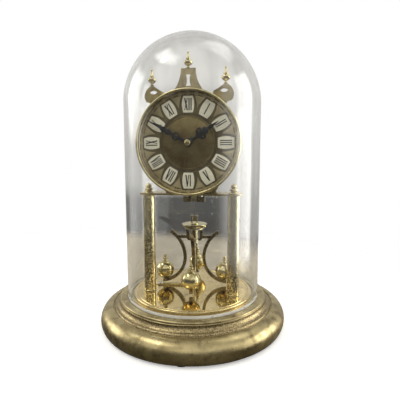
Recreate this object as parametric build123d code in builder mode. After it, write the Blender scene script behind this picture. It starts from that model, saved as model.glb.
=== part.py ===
from build123d import *
import os
from math import atan2, cos, degrees, radians, sin, sqrt

# Anniversary clock: a torsion-pendulum movement on two columns, on a spun brass base under a glass dome.
# Millimetres. +Z is up, the dial faces -Y, and the origin is the centre of the base at floor level.
# "Forward" distances are measured from the base's axis towards the dial, so forward = -Y.

# --- driving dimensions -------------------------------------------------------------------------------
FOOT_HEIGHT = 2.5
BASE_RADIUS = 96.7
BASE_WALL = 1.3
ROLL_CENTRE = (84.2, 9.6)          # radius and height of the centre of the base's big roll
DECK_TOP = 31.2                    # ledge around the foot of the dome
SEAT_TOP = 30.4                    # recess that the dome stands in
PLATE_RADIUS = 62.5
PLATE_TOP = 34.5
PLATE_SKIN = 1.5

DOME_RADIUS = 69.1
DOME_WALL = 2.2
DOME_SPRING_LINE = 226.4

COLUMN_X = 43.8
COLUMN_FORWARD = 13.4
COLUMN_RADIUS = 6.1
COLLAR_HEIGHT = 1.0
COLLAR_RADIUS = 6.6
ROD_RADIUS = 2.0

PLATFORM_BOTTOM = 136.3
PLATFORM_THICKNESS = 1.8
PLATFORM_TOP = PLATFORM_BOTTOM + PLATFORM_THICKNESS
PLATFORM_HALF_LENGTH = 52.0

BACK_PLATE_BACK = -4.0             # forward distances of the movement's plates
BACK_PLATE_FRONT = -2.5
FRONT_PLATE_BACK = 16.0
FRONT_PLATE_FRONT = 17.5

DIAL_CENTRE = 187.6
DIAL_BACK = 22.3
DIAL_FRONT = 23.3
DIAL_RADIUS = 49.1
BEZEL_RADIUS = 50.9
BEZEL_FRONT = 31.0
NUMERAL_RADIUS = 36.5
CENTRE_DISC_RADIUS = 26.0

SUSPENSION_FORWARD = -10.2
BALL_CIRCLE = 33.1
BALL_RADIUS = 10.0
SEAM_RISE = 0.2
BALL_HEIGHT = 50.6
PENDULUM_TURN = 3.7                # rest angle of the pendulum's cross, seen from above

PIVOT_RADIUS = 0.6
PIVOT_CLEARANCE = 0.05
SCREW_RADIUS = 1.2

os.makedirs("parts", exist_ok=True)


def save(builder, name):
    """Label a finished piece and write it to its own STEP file."""
    builder.part.label = name
    export_step(builder.part, f"parts/{name}.step")


def facing(forward):
    """A plane parallel to the dial: local x is +X, local y is +Z, and its normal points to the front."""
    return Plane.XZ.offset(forward)


def polar(radius, angle):
    return (radius * cos(radians(angle)), radius * sin(radians(angle)))


# --- gears ------------------------------------------------------------------------------------------
# Teeth are trapezoids with generous backlash. Angles run anticlockwise as seen from the front.

ADDENDUM = 0.80                    # tooth height over the pitch circle, in modules
DEDENDUM = 1.25
PITCH_SHARE = 0.38                 # share of the pitch filled by a tooth at the pitch circle
TIP_SHARE = 0.15
ROOT_SHARE = 0.56


def gear_points(teeth, module, phase, centre):
    """The outline of a spur gear with one tooth centred on the angle phase."""
    pitch_radius = teeth * module / 2
    pitch_angle = 360 / teeth
    root_radius = pitch_radius - DEDENDUM * module
    tip_radius = pitch_radius + ADDENDUM * module
    corners = [(root_radius, -ROOT_SHARE / 2), (pitch_radius, -PITCH_SHARE / 2), (tip_radius, -TIP_SHARE / 2),
               (tip_radius, TIP_SHARE / 2), (pitch_radius, PITCH_SHARE / 2), (root_radius, ROOT_SHARE / 2)]
    points = []
    for tooth in range(teeth):
        for radius, share in corners:
            x, z = polar(radius, phase + (tooth + share) * pitch_angle)
            points.append((centre[0] + x, centre[1] + z))
    return points


def meshed_phase(driver, driver_teeth, driver_phase, follower, follower_teeth):
    """The phase that puts a gap of the follower opposite a tooth of its driver."""
    line = degrees(atan2(follower[1] - driver[1], follower[0] - driver[0]))
    driver_share = (line - driver_phase) * driver_teeth / 360
    return line + 180 - (0.5 - driver_share) * 360 / follower_teeth


def third_corner(start, end, from_start, from_end, side):
    """The point at the given distances from two centres, on one side of the line between them."""
    dx, dz = end[0] - start[0], end[1] - start[1]
    span = sqrt(dx * dx + dz * dz)
    along = (from_start ** 2 - from_end ** 2 + span ** 2) / (2 * span)
    height = side * sqrt(from_start ** 2 - along ** 2)
    return (start[0] + (along * dx - height * dz) / span, start[1] + (along * dz + height * dx) / span)


# --- base -------------------------------------------------------------------------------------------

GROOVE_RADIUS = 83.4
COVE_TOP_RADIUS = 77.4
LIP_INNER_RADIUS = 88.0
DECK_INNER_RADIUS = 55.0
SEAT_OUTER_RADIUS = DOME_RADIUS + 0.9
SEAT_INNER_RADIUS = DOME_RADIUS - DOME_WALL - 1.0

with BuildPart() as base_shell:
    with BuildSketch(Plane.XZ):
        with BuildLine():
            # Outside, from the rolled lip at the floor to the deck under the polished plate.
            Polyline((LIP_INNER_RADIUS, FOOT_HEIGHT), (94.8, FOOT_HEIGHT))
            ThreePointArc((94.8, FOOT_HEIGHT), (BASE_RADIUS, ROLL_CENTRE[1]), (93.2, 18.4))
            ThreePointArc((93.2, 18.4), (89.4, 21.0), (84.4, 22.0))
            Polyline((84.4, 22.0), (GROOVE_RADIUS, 21.0), (82.6, 21.8))
            ThreePointArc((82.6, 21.8), (81.8, 23.0), (80.4, 23.4))
            ThreePointArc((80.4, 23.4), (78.2, 25.4), (COVE_TOP_RADIUS, 28.6))
            Polyline((COVE_TOP_RADIUS, 28.6), (76.7, 28.9), (76.7, 29.8))
            ThreePointArc((76.7, 29.8), (76.3, 30.8), (75.3, DECK_TOP))
            Polyline((75.3, DECK_TOP), (SEAT_OUTER_RADIUS, DECK_TOP), (SEAT_OUTER_RADIUS, SEAT_TOP),
                     (SEAT_INNER_RADIUS, SEAT_TOP), (SEAT_INNER_RADIUS, DECK_TOP),
                     (DECK_INNER_RADIUS, DECK_TOP), (DECK_INNER_RADIUS, DECK_TOP - BASE_WALL),
                     (SEAT_INNER_RADIUS - 1, DECK_TOP - BASE_WALL),
                     (SEAT_INNER_RADIUS - 1, SEAT_TOP - BASE_WALL), (74.8, SEAT_TOP - BASE_WALL))
            # Inside, back down to the lip.
            ThreePointArc((74.8, SEAT_TOP - BASE_WALL), (76.8, 24.6), (79.6, 22.2))
            Polyline((79.6, 22.2), (84.2, 20.2))
            ThreePointArc((84.2, 20.2), (88.6, 19.6), (91.8, 17.4))
            ThreePointArc((91.8, 17.4), (95.3, 9.8), (93.6, FOOT_HEIGHT + 1.0))
            Polyline((93.6, FOOT_HEIGHT + 1.0), (LIP_INNER_RADIUS, FOOT_HEIGHT + 1.0),
                     (LIP_INNER_RADIUS, FOOT_HEIGHT))
        make_face()
    revolve(axis=Axis.Z)
save(base_shell, "base_shell")

COVER_BOTTOM = FOOT_HEIGHT + 1.0
COVER_THICKNESS = 2.0
COVER_RADIUS = 92.4
COVER_HOLE_RADIUS = 34.0
FOOT_CIRCLE = 85.3
FOOT_DISC_RADIUS = 7.3
FOOT_STEM_RADIUS = 2.5
FOOT_ANGLES = {"front": -86.0, "right": 34.0, "left": 154.0}
LOCK_SCREW_AT = (-38.0, -2.2)

with BuildPart() as base_cover:
    with BuildSketch(Plane.XY.offset(COVER_BOTTOM)):
        Circle(COVER_RADIUS)
        Circle(COVER_HOLE_RADIUS, mode=Mode.SUBTRACT)
        for angle in FOOT_ANGLES.values():
            with Locations(polar(FOOT_CIRCLE, angle)):
                Circle(FOOT_STEM_RADIUS + PIVOT_CLEARANCE, mode=Mode.SUBTRACT)
    extrude(amount=COVER_THICKNESS)
save(base_cover, "base_cover")

FOOT_STEM_TOP = 13.0
FOOT_PAD_HEIGHT = FOOT_HEIGHT - 0.2
for side, angle in FOOT_ANGLES.items():
    with BuildPart() as foot:
        with BuildSketch(Plane.XY):
            with Locations(polar(FOOT_CIRCLE, angle)):
                Circle(FOOT_DISC_RADIUS)
        extrude(amount=FOOT_PAD_HEIGHT)
        fillet(foot.edges().filter_by(GeomType.CIRCLE), radius=0.8)
        with BuildSketch(Plane.XY.offset(FOOT_PAD_HEIGHT)):
            with Locations(polar(FOOT_CIRCLE, angle)):
                Circle(FOOT_STEM_RADIUS)
        extrude(amount=FOOT_STEM_TOP - FOOT_PAD_HEIGHT)
    save(foot, f"foot_{side}")

LOCK_CUP_BORE = 2.0
LOCK_SCREW_RADIUS = 1.25
ROD_CLEARANCE = 0.2
COLUMNS = [(-COLUMN_X, -COLUMN_FORWARD), (COLUMN_X, -COLUMN_FORWARD)]
with BuildPart() as base_plate:
    with BuildSketch(Plane.XY.offset(DECK_TOP)):
        Circle(PLATE_RADIUS)
    extrude(amount=PLATE_TOP - DECK_TOP)
    fillet(base_plate.edges().group_by(Axis.Z)[-1], radius=1.2)
    with BuildSketch(Plane.XY.offset(DECK_TOP)):
        Circle(PLATE_RADIUS - 1.6)
    extrude(amount=PLATE_TOP - PLATE_SKIN - DECK_TOP, mode=Mode.SUBTRACT)
    with BuildSketch(Plane.XY.offset(DECK_TOP)):
        with Locations(*COLUMNS):
            Circle(ROD_RADIUS + ROD_CLEARANCE)
        with Locations((0, -SUSPENSION_FORWARD)):
            Circle(LOCK_CUP_BORE + PIVOT_CLEARANCE)
        with Locations((LOCK_SCREW_AT[0], -LOCK_SCREW_AT[1])):
            Circle(LOCK_SCREW_RADIUS + PIVOT_CLEARANCE)
    extrude(amount=PLATE_TOP - DECK_TOP, mode=Mode.SUBTRACT)
save(base_plate, "base_plate")

# --- columns ----------------------------------------------------------------------------------------

COLUMN_WALL = 1.0
for side, x in (("left", -COLUMN_X), ("right", COLUMN_X)):
    with BuildPart() as column:
        with BuildSketch(Plane.XY.offset(PLATE_TOP + COLLAR_HEIGHT)):
            with Locations((x, -COLUMN_FORWARD)):
                Circle(COLUMN_RADIUS)
                Circle(COLUMN_RADIUS - COLUMN_WALL, mode=Mode.SUBTRACT)
        extrude(amount=PLATFORM_BOTTOM - PLATE_TOP - 2 * COLLAR_HEIGHT)
    save(column, f"column_{side}")

with BuildPart() as column_collars:
    for bottom in (PLATE_TOP, PLATFORM_BOTTOM - COLLAR_HEIGHT):
        with BuildSketch(Plane.XY.offset(bottom)):
            with Locations(*COLUMNS):
                Circle(COLLAR_RADIUS)
                Circle(ROD_RADIUS + ROD_CLEARANCE, mode=Mode.SUBTRACT)
        extrude(amount=COLLAR_HEIGHT)
save(column_collars, "column_collars")

ROD_BOTTOM = 28.0
FINIAL_THREAD = 3.4
with BuildPart() as tie_rods:
    with BuildSketch(Plane.XY.offset(ROD_BOTTOM)):
        with Locations(*COLUMNS):
            Circle(ROD_RADIUS)
    extrude(amount=PLATFORM_TOP + FINIAL_THREAD - ROD_BOTTOM)
save(tie_rods, "tie_rods")

NUT_HEIGHT = 3.0
with BuildPart() as tie_rod_nuts:
    with BuildSketch(Plane.XY.offset(PLATE_TOP - PLATE_SKIN - NUT_HEIGHT)):
        with Locations(*COLUMNS):
            RegularPolygon(4.0, 6)
            Circle(ROD_RADIUS, mode=Mode.SUBTRACT)
    extrude(amount=NUT_HEIGHT)
save(tie_rod_nuts, "tie_rod_nuts")

TOP_LOBE = 3.1
with BuildPart() as column_finials:
    for x, y in COLUMNS:
        with BuildSketch(Plane.XZ.offset(-y)):
            with BuildLine():
                Polyline((x, PLATFORM_TOP), (x + 4.6, PLATFORM_TOP), (x + 4.6, PLATFORM_TOP + 0.9),
                         (x + 3.0, PLATFORM_TOP + 1.6))
                ThreePointArc((x + 3.0, PLATFORM_TOP + 1.6), (x + 4.5, PLATFORM_TOP + 3.4),
                              (x + 2.9, PLATFORM_TOP + 5.0))
                Line((x + 2.9, PLATFORM_TOP + 5.0), (x + TOP_LOBE, PLATFORM_TOP + 6.6))
                CenterArc((x, PLATFORM_TOP + 6.6), TOP_LOBE, 0, 90)
                Line((x, PLATFORM_TOP + 6.6 + TOP_LOBE), (x, PLATFORM_TOP))
            make_face()
        revolve(axis=Axis((x, y, 0), (0, 0, 1)))
    with BuildSketch(Plane.XY.offset(PLATFORM_TOP)):
        with Locations(*COLUMNS):
            Circle(ROD_RADIUS)
    extrude(amount=FINIAL_THREAD, mode=Mode.SUBTRACT)
save(column_finials, "column_finials")

# --- platform ---------------------------------------------------------------------------------------

PLATFORM_FRONT = 22.0
PLATFORM_BACK = -6.0
SEAT_BLOCK_X = 13.0
SEAT_SCREWS = [(-SEAT_BLOCK_X, -7), (SEAT_BLOCK_X, -7)]
GUARD_SCREWS = [(-8, 2.5), (8, 2.5)]
PLATFORM_MIDDLE = (PLATFORM_FRONT + PLATFORM_BACK) / 2

with BuildPart() as platform:
    with BuildSketch(Plane.XY.offset(PLATFORM_BOTTOM)):
        with Locations((0, -PLATFORM_MIDDLE)):
            RectangleRounded(2 * PLATFORM_HALF_LENGTH, PLATFORM_FRONT - PLATFORM_BACK, 5.0)
        with Locations(*COLUMNS):
            Circle(ROD_RADIUS + ROD_CLEARANCE, mode=Mode.SUBTRACT)
        with Locations(*SEAT_SCREWS):
            Circle(SCREW_RADIUS, mode=Mode.SUBTRACT)
    extrude(amount=PLATFORM_THICKNESS)
save(platform, "platform")

# --- train layout: centres as (x, z), seen from the front ---------------------------------------------

BARREL_TEETH, BARREL_MODULE = 96, 0.36
WHEEL_TEETH, PINION_LEAVES, TRAIN_MODULE = 80, 10, 0.33
CENTRE_TEETH, THIRD_TEETH, THIRD_LEAVES, GOING_MODULE = 48, 36, 12, 0.5
CANNON_LEAVES, MINUTE_TEETH, CANNON_MODULE = 12, 36, 0.5
MINUTE_LEAVES, HOUR_TEETH, HOUR_MODULE = 10, 40, 0.48

CENTRE_AT = (0.0, DIAL_CENTRE)
BARREL_AT = (9.0, 161.0)
ESCAPE_AT = (0.0, 206.0)
ANCHOR_AT = (0.0, 217.5)
BARREL_REACH = (BARREL_TEETH + PINION_LEAVES) * BARREL_MODULE / 2
TRAIN_REACH = (WHEEL_TEETH + PINION_LEAVES) * TRAIN_MODULE / 2
FIRST_AT = (BARREL_AT[0] + polar(BARREL_REACH, 150)[0], BARREL_AT[1] + polar(BARREL_REACH, 150)[1])
SECOND_AT = third_corner(FIRST_AT, CENTRE_AT, TRAIN_REACH, TRAIN_REACH, 1)
THIRD_AT = third_corner(CENTRE_AT, ESCAPE_AT, (CENTRE_TEETH + THIRD_LEAVES) * GOING_MODULE / 2,
                        (THIRD_TEETH + THIRD_LEAVES) * GOING_MODULE / 2, -1)
MINUTE_AT = (0.0, DIAL_CENTRE - (CANNON_LEAVES + MINUTE_TEETH) * CANNON_MODULE / 2)
PIVOTED = [FIRST_AT, SECOND_AT, THIRD_AT, ESCAPE_AT]
CLICK_AT = (16.0, 169.5)

CENTRE_PINION_PHASE = 0.0
SECOND_PHASE = meshed_phase(CENTRE_AT, PINION_LEAVES, CENTRE_PINION_PHASE, SECOND_AT, WHEEL_TEETH)
SECOND_PINION_PHASE = 0.0
FIRST_PHASE = meshed_phase(SECOND_AT, PINION_LEAVES, SECOND_PINION_PHASE, FIRST_AT, WHEEL_TEETH)
FIRST_PINION_PHASE = 0.0
BARREL_PHASE = meshed_phase(FIRST_AT, PINION_LEAVES, FIRST_PINION_PHASE, BARREL_AT, BARREL_TEETH)
CENTRE_PHASE = 0.0
THIRD_PINION_PHASE = meshed_phase(CENTRE_AT, CENTRE_TEETH, CENTRE_PHASE, THIRD_AT, THIRD_LEAVES)
THIRD_PHASE = 0.0
ESCAPE_PINION_PHASE = meshed_phase(THIRD_AT, THIRD_TEETH, THIRD_PHASE, ESCAPE_AT, THIRD_LEAVES)
CANNON_PHASE = 0.0
MINUTE_PHASE = meshed_phase(CENTRE_AT, CANNON_LEAVES, CANNON_PHASE, MINUTE_AT, MINUTE_TEETH)
MINUTE_PINION_PHASE = 0.0
HOUR_PHASE = meshed_phase(MINUTE_AT, MINUTE_LEAVES, MINUTE_PINION_PHASE, CENTRE_AT, HOUR_TEETH)

# --- movement plates ----------------------------------------------------------------------------------

PLATE_OUTLINE = [(-24, PLATFORM_TOP), (24, PLATFORM_TOP), (30, 150), (30, 214), (22, 222), (-22, 222),
                 (-30, 214), (-30, 150)]
PILLARS = [(-21.5, 143.5), (21.5, 143.5), (-25, 211), (25, 211)]
PILLAR_RADIUS = 2.75
BARREL_ARBOR_RADIUS = 2.5
CENTRE_ARBOR_RADIUS = 0.8
DIAL_POSTS = [(-24, 203), (24, 203), (0, 146)]
ANCHOR_ARBOR_RADIUS = 0.75
SADDLE_SCREWS = [(-9, 217), (9, 217)]

with BuildPart() as front_plate:
    with BuildSketch(facing(FRONT_PLATE_BACK)):
        with BuildLine():
            Polyline(*PLATE_OUTLINE, close=True)
        make_face()
        with Locations(*PILLARS):
            Circle(SCREW_RADIUS, mode=Mode.SUBTRACT)
        with Locations(*DIAL_POSTS):
            Circle(1.0, mode=Mode.SUBTRACT)
        with Locations(*PIVOTED, ANCHOR_AT):
            Circle(PIVOT_RADIUS + PIVOT_CLEARANCE, mode=Mode.SUBTRACT)
        with Locations(CENTRE_AT):
            Circle(CENTRE_ARBOR_RADIUS + PIVOT_CLEARANCE, mode=Mode.SUBTRACT)
        with Locations(BARREL_AT):
            Circle(BARREL_ARBOR_RADIUS + PIVOT_CLEARANCE, mode=Mode.SUBTRACT)
    extrude(amount=FRONT_PLATE_FRONT - FRONT_PLATE_BACK)
    # The stud that the minute wheel turns on.
    with BuildSketch(facing(FRONT_PLATE_FRONT)):
        with Locations(MINUTE_AT):
            Circle(0.8)
    extrude(amount=3.9)
save(front_plate, "front_plate")

with BuildPart() as back_plate:
    with BuildSketch(facing(BACK_PLATE_BACK)):
        with BuildLine():
            Polyline(*PLATE_OUTLINE, close=True)
        make_face()
        with Locations(*PILLARS):
            Circle(SCREW_RADIUS, mode=Mode.SUBTRACT)
        with Locations(*SADDLE_SCREWS):
            Circle(SCREW_RADIUS, mode=Mode.SUBTRACT)
        with Locations(*PIVOTED, CENTRE_AT):
            Circle(PIVOT_RADIUS + PIVOT_CLEARANCE, mode=Mode.SUBTRACT)
        with Locations(ANCHOR_AT):
            Circle(ANCHOR_ARBOR_RADIUS + PIVOT_CLEARANCE, mode=Mode.SUBTRACT)
        with Locations(BARREL_AT):
            Circle(BARREL_ARBOR_RADIUS + PIVOT_CLEARANCE, mode=Mode.SUBTRACT)
        with Locations(CLICK_AT):
            Circle(SCREW_RADIUS, mode=Mode.SUBTRACT)
    extrude(amount=BACK_PLATE_FRONT - BACK_PLATE_BACK)
save(back_plate, "back_plate")

with BuildPart() as movement_pillars:
    with BuildSketch(facing(BACK_PLATE_FRONT)):
        with Locations(*PILLARS):
            Circle(PILLAR_RADIUS)
    extrude(amount=FRONT_PLATE_BACK - BACK_PLATE_FRONT)
    with BuildSketch(facing(BACK_PLATE_FRONT)):
        with Locations(*PILLARS):
            Circle(SCREW_RADIUS)
    extrude(amount=FRONT_PLATE_BACK - BACK_PLATE_FRONT, mode=Mode.SUBTRACT)
save(movement_pillars, "movement_pillars")

SEAT_BLOCK_HEIGHT = 4.6
with BuildPart() as seat_blocks:
    with BuildSketch(facing(BACK_PLATE_FRONT)):
        with Locations((-SEAT_BLOCK_X, PLATFORM_TOP + SEAT_BLOCK_HEIGHT / 2),
                       (SEAT_BLOCK_X, PLATFORM_TOP + SEAT_BLOCK_HEIGHT / 2)):
            Rectangle(8, SEAT_BLOCK_HEIGHT)
    extrude(amount=FRONT_PLATE_BACK - BACK_PLATE_FRONT)
    with BuildSketch(Plane.XY.offset(PLATFORM_TOP)):
        with Locations(*SEAT_SCREWS):
            Circle(SCREW_RADIUS)
    extrude(amount=3.6, mode=Mode.SUBTRACT)
save(seat_blocks, "seat_blocks")

HEAD_HEIGHT = 1.3
HEAD_RADIUS = 2.3


def screws_forward(places, head_at, shank_length):
    """Cheese-head screws parallel to Y: heads seated at head_at, shanks pointing away from the heads."""
    outward = -1 if shank_length > 0 else 1
    with BuildSketch(facing(head_at)) as slotted_head:
        with Locations(*places):
            Circle(HEAD_RADIUS)
            SlotCenterToCenter(2 * HEAD_RADIUS, 0.6, rotation=30, mode=Mode.SUBTRACT)
    extrude(slotted_head.sketch, amount=outward * HEAD_HEIGHT)
    with BuildSketch(facing(head_at)) as head:
        with Locations(*places):
            Circle(HEAD_RADIUS)
    extrude(head.sketch, amount=outward * HEAD_HEIGHT / 2)
    with BuildSketch(facing(head_at)) as shank:
        with Locations(*places):
            Circle(SCREW_RADIUS)
    extrude(shank.sketch, amount=shank_length)


# --- dial -------------------------------------------------------------------------------------------

HOUR_PIPE_RADIUS = 2.3
with BuildPart() as dial_plate:
    with BuildSketch(facing(DIAL_BACK)):
        with Locations(CENTRE_AT):
            Circle(DIAL_RADIUS)
            Circle(HOUR_PIPE_RADIUS + 0.4, mode=Mode.SUBTRACT)
    extrude(amount=DIAL_FRONT - DIAL_BACK)
save(dial_plate, "dial_plate")

with BuildPart() as dial_posts:
    with BuildSketch(facing(FRONT_PLATE_FRONT)):
        with Locations(*DIAL_POSTS):
            Circle(1.8)
    extrude(amount=DIAL_BACK - FRONT_PLATE_FRONT)
    with BuildSketch(facing(FRONT_PLATE_BACK)):
        with Locations(*DIAL_POSTS):
            Circle(1.0)
    extrude(amount=FRONT_PLATE_FRONT - FRONT_PLATE_BACK)
save(dial_posts, "dial_posts")

DIAL_RELIEF = 0.4
with BuildPart() as dial_centre:
    with BuildSketch(facing(DIAL_FRONT)):
        with Locations(CENTRE_AT):
            Circle(CENTRE_DISC_RADIUS)
            Circle(HOUR_PIPE_RADIUS + 0.4, mode=Mode.SUBTRACT)
    extrude(amount=DIAL_RELIEF)
save(dial_centre, "dial_centre")

CARTOUCHE_WIDTH = 12.1
CARTOUCHE_NECK = 9.2
CARTOUCHE_LENGTH = 15.7
with BuildPart() as hour_cartouches:
    for hour in range(12):
        centre = polar(NUMERAL_RADIUS, 90 - 30 * hour)
        place = Plane(origin=(centre[0], -DIAL_FRONT, DIAL_CENTRE + centre[1]),
                      x_dir=(cos(radians(30 * hour)), 0, -sin(radians(30 * hour))), z_dir=(0, -1, 0))
        with BuildSketch(place):
            with BuildLine():
                half_neck, half_width = CARTOUCHE_NECK / 2, CARTOUCHE_WIDTH / 2
                half_length = CARTOUCHE_LENGTH / 2
                Line((-half_neck, -half_length), (half_neck, -half_length))
                ThreePointArc((half_neck, -half_length), (half_width, 0), (half_neck, half_length))
                Line((half_neck, half_length), (-half_neck, half_length))
                ThreePointArc((-half_neck, half_length), (-half_width, 0), (-half_neck, -half_length))
            make_face()
        extrude(amount=DIAL_RELIEF)
save(hour_cartouches, "hour_cartouches")

BEZEL_ROLL = 1.4                   # radius of the bezel's rolled lip
BEZEL_WALL = 1.5
with BuildPart() as bezel:
    with BuildSketch(Plane.YZ):
        with BuildLine():
            rim_top = DIAL_CENTRE + BEZEL_RADIUS
            roll_y = BEZEL_ROLL - BEZEL_FRONT
            Polyline((-DIAL_BACK, rim_top - BEZEL_WALL), (-DIAL_BACK, rim_top), (roll_y, rim_top))
            ThreePointArc((roll_y, rim_top), (-BEZEL_FRONT, rim_top - BEZEL_ROLL),
                          (roll_y, rim_top - 2 * BEZEL_ROLL))
            Polyline((roll_y, rim_top - 2 * BEZEL_ROLL), (-DIAL_BACK, rim_top - BEZEL_WALL))
        make_face()
    revolve(axis=Axis((0, 0, DIAL_CENTRE), (0, 1, 0)))
save(bezel, "bezel")

# --- crest and finials --------------------------------------------------------------------------------

CREST_BACK = 21.3
CREST_TOP = 257.8
FINIAL_X = 35.6
BAND_RADIUS, BAND_INNER_RADIUS = 47.5, 39.0
LENS_X, LENS_Z = 34.2, 236.3
LENS_HALF_WIDTH, LENS_HALF_HEIGHT = 3.8, 1.75
with BuildPart() as crest:
    with BuildSketch(facing(CREST_BACK)):
        # A band behind the rim of the dial carries the three brackets.
        with Locations(CENTRE_AT):
            Circle(BAND_RADIUS)
            Circle(BAND_INNER_RADIUS, mode=Mode.SUBTRACT)
        with Locations((0, DIAL_CENTRE - 27.0)):
            Rectangle(2.3 * BAND_RADIUS, 2.1 * BAND_RADIUS, mode=Mode.SUBTRACT)
        for side in (-1, 1):
            with BuildLine():
                Polyline((side * 24.3, 236.2), (side * 22.0, 228.0), (side * 35.0, 221.0))
                ThreePointArc((side * 35.0, 221.0), (side * 37.4, 225.6), (side * 41.3, 226.9))
                ThreePointArc((side * 41.3, 226.9), (side * 43.2, 234.0), (side * 37.4, 242.0))
                ThreePointArc((side * 37.4, 242.0), (side * FINIAL_X, 242.8), (side * 33.6, 242.0))
                ThreePointArc((side * 33.6, 242.0), (side * 28.4, 238.4), (side * 24.3, 236.2))
            make_face()
        with BuildLine():
            Polyline((-7.15, CREST_TOP), (7.15, CREST_TOP))
            ThreePointArc((7.15, CREST_TOP), (8.9, 247.0), (13.4, 238.6))
            Polyline((13.4, 238.6), (12.0, 230.0), (-12.0, 230.0), (-13.4, 238.6))
            ThreePointArc((-13.4, 238.6), (-8.9, 247.0), (-7.15, CREST_TOP))
        make_face()
        # Piercings: an hourglass slot in the middle and a lens on each side.
        with BuildLine():
            Line((-2.2, 252.1), (2.2, 252.1))
            ThreePointArc((2.2, 252.1), (1.4, 246.4), (2.5, 241.4))
            Line((2.5, 241.4), (-2.5, 241.4))
            ThreePointArc((-2.5, 241.4), (-1.4, 246.4), (-2.2, 252.1))
        make_face(mode=Mode.SUBTRACT)
        for side in (-1, 1):
            with BuildLine():
                near, far = side * LENS_X - LENS_HALF_WIDTH, side * LENS_X + LENS_HALF_WIDTH
                ThreePointArc((near, LENS_Z), (side * LENS_X, LENS_Z + LENS_HALF_HEIGHT), (far, LENS_Z))
                ThreePointArc((far, LENS_Z), (side * LENS_X, LENS_Z - LENS_HALF_HEIGHT), (near, LENS_Z))
            make_face(mode=Mode.SUBTRACT)
    extrude(amount=DIAL_BACK - CREST_BACK)
save(crest, "crest")

FINIALS = [(0.0, CREST_TOP), (-FINIAL_X, 242.85), (FINIAL_X, 242.85)]
FINIAL_FORWARD = (CREST_BACK + DIAL_BACK) / 2
with BuildPart() as crest_finials:
    for x, foot_z in FINIALS:
        with BuildSketch(facing(FINIAL_FORWARD)):
            with BuildLine():
                Polyline((x, foot_z), (x + 1.4, foot_z), (x + 1.5, foot_z + 1.6))
                ThreePointArc((x + 1.5, foot_z + 1.6), (x + 4.15, foot_z + 5.4), (x + 1.8, foot_z + 7.4))
                ThreePointArc((x + 1.8, foot_z + 7.4), (x + 2.2, foot_z + 9.0), (x + 1.3, foot_z + 10.4))
                Polyline((x + 1.3, foot_z + 10.4), (x + 0.9, foot_z + 14.2), (x, foot_z + 15.2),
                         (x, foot_z))
            make_face()
        revolve(axis=Axis((x, -FINIAL_FORWARD, 0), (0, 0, 1)))
save(crest_finials, "crest_finials")

# --- winding: barrel, arbor, ratchet and click --------------------------------------------------------

DRUM_RADIUS = 16.0
DRUM_BACK, DRUM_FRONT = 2.0, 13.4
BARREL_WHEEL_BACK = 0.6


def wheel(teeth, module, phase, centre, back, thickness):
    """A toothed disc parallel to the dial, added to the current part."""
    with BuildSketch(facing(back)) as toothed:
        with BuildLine():
            Polyline(*gear_points(teeth, module, phase, centre), close=True)
        make_face()
    extrude(toothed.sketch, amount=thickness)


def rod(centre, radius, back, front, mode=Mode.ADD):
    """A round bar from back to front, added to the current part or cut from it."""
    with BuildSketch(facing(back)) as section:
        with Locations(centre):
            Circle(radius)
    extrude(section.sketch, amount=front - back, mode=mode)


def crossings(centre, inner, outer, back, front):
    """Cut five windows between hub and rim, so that a wheel has spokes."""
    middle = (inner + outer) / 2
    with BuildSketch(facing(back)) as windows:
        with Locations(centre):
            with PolarLocations(middle, 5, start_angle=90):
                Circle((outer - inner) / 2)
    extrude(windows.sketch, amount=front - back, mode=Mode.SUBTRACT)


with BuildPart() as barrel:
    wheel(BARREL_TEETH, BARREL_MODULE, BARREL_PHASE, BARREL_AT, BARREL_WHEEL_BACK,
          DRUM_BACK - BARREL_WHEEL_BACK)
    rod(BARREL_AT, DRUM_RADIUS, DRUM_BACK, DRUM_FRONT)
    rod(BARREL_AT, DRUM_RADIUS - 0.9, DRUM_BACK, DRUM_FRONT - 1.0, Mode.SUBTRACT)
    rod(BARREL_AT, BARREL_ARBOR_RADIUS + PIVOT_CLEARANCE, 0, DRUM_FRONT, Mode.SUBTRACT)
save(barrel, "barrel")

with BuildPart() as mainspring:
    rod(BARREL_AT, DRUM_RADIUS - 1.0, DRUM_BACK + 0.3, DRUM_FRONT - 1.3)
    rod(BARREL_AT, 8.0, DRUM_BACK + 0.3, DRUM_FRONT - 1.3, Mode.SUBTRACT)
save(mainspring, "mainspring")

RATCHET_BACK = -5.6
RATCHET_TEETH = 12
RATCHET_TIP, RATCHET_ROOT = 6.6, 5.4
SQUARE_SIDE, SQUARE_LENGTH = 3.2, 9.0
with BuildPart() as winding_arbor:
    rod(BARREL_AT, BARREL_ARBOR_RADIUS, RATCHET_BACK, FRONT_PLATE_FRONT + 0.6)
    with BuildSketch(facing(RATCHET_BACK - SQUARE_LENGTH)):
        with Locations(BARREL_AT):
            Rectangle(SQUARE_SIDE, SQUARE_SIDE)
    extrude(amount=SQUARE_LENGTH)
save(winding_arbor, "winding_arbor")

with BuildPart() as ratchet_wheel:
    with BuildSketch(facing(RATCHET_BACK)):
        with BuildLine():
            saw = []
            for tooth in range(RATCHET_TEETH):
                for radius, share in ((RATCHET_TIP, 0.0), (RATCHET_ROOT, 0.08)):
                    x, z = polar(radius, 360 * (tooth + share) / RATCHET_TEETH)
                    saw.append((BARREL_AT[0] + x, BARREL_AT[1] + z))
            Polyline(*saw, close=True)
        make_face()
        with Locations(BARREL_AT):
            Circle(BARREL_ARBOR_RADIUS, mode=Mode.SUBTRACT)
    extrude(amount=1.4)
save(ratchet_wheel, "ratchet_wheel")

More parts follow.
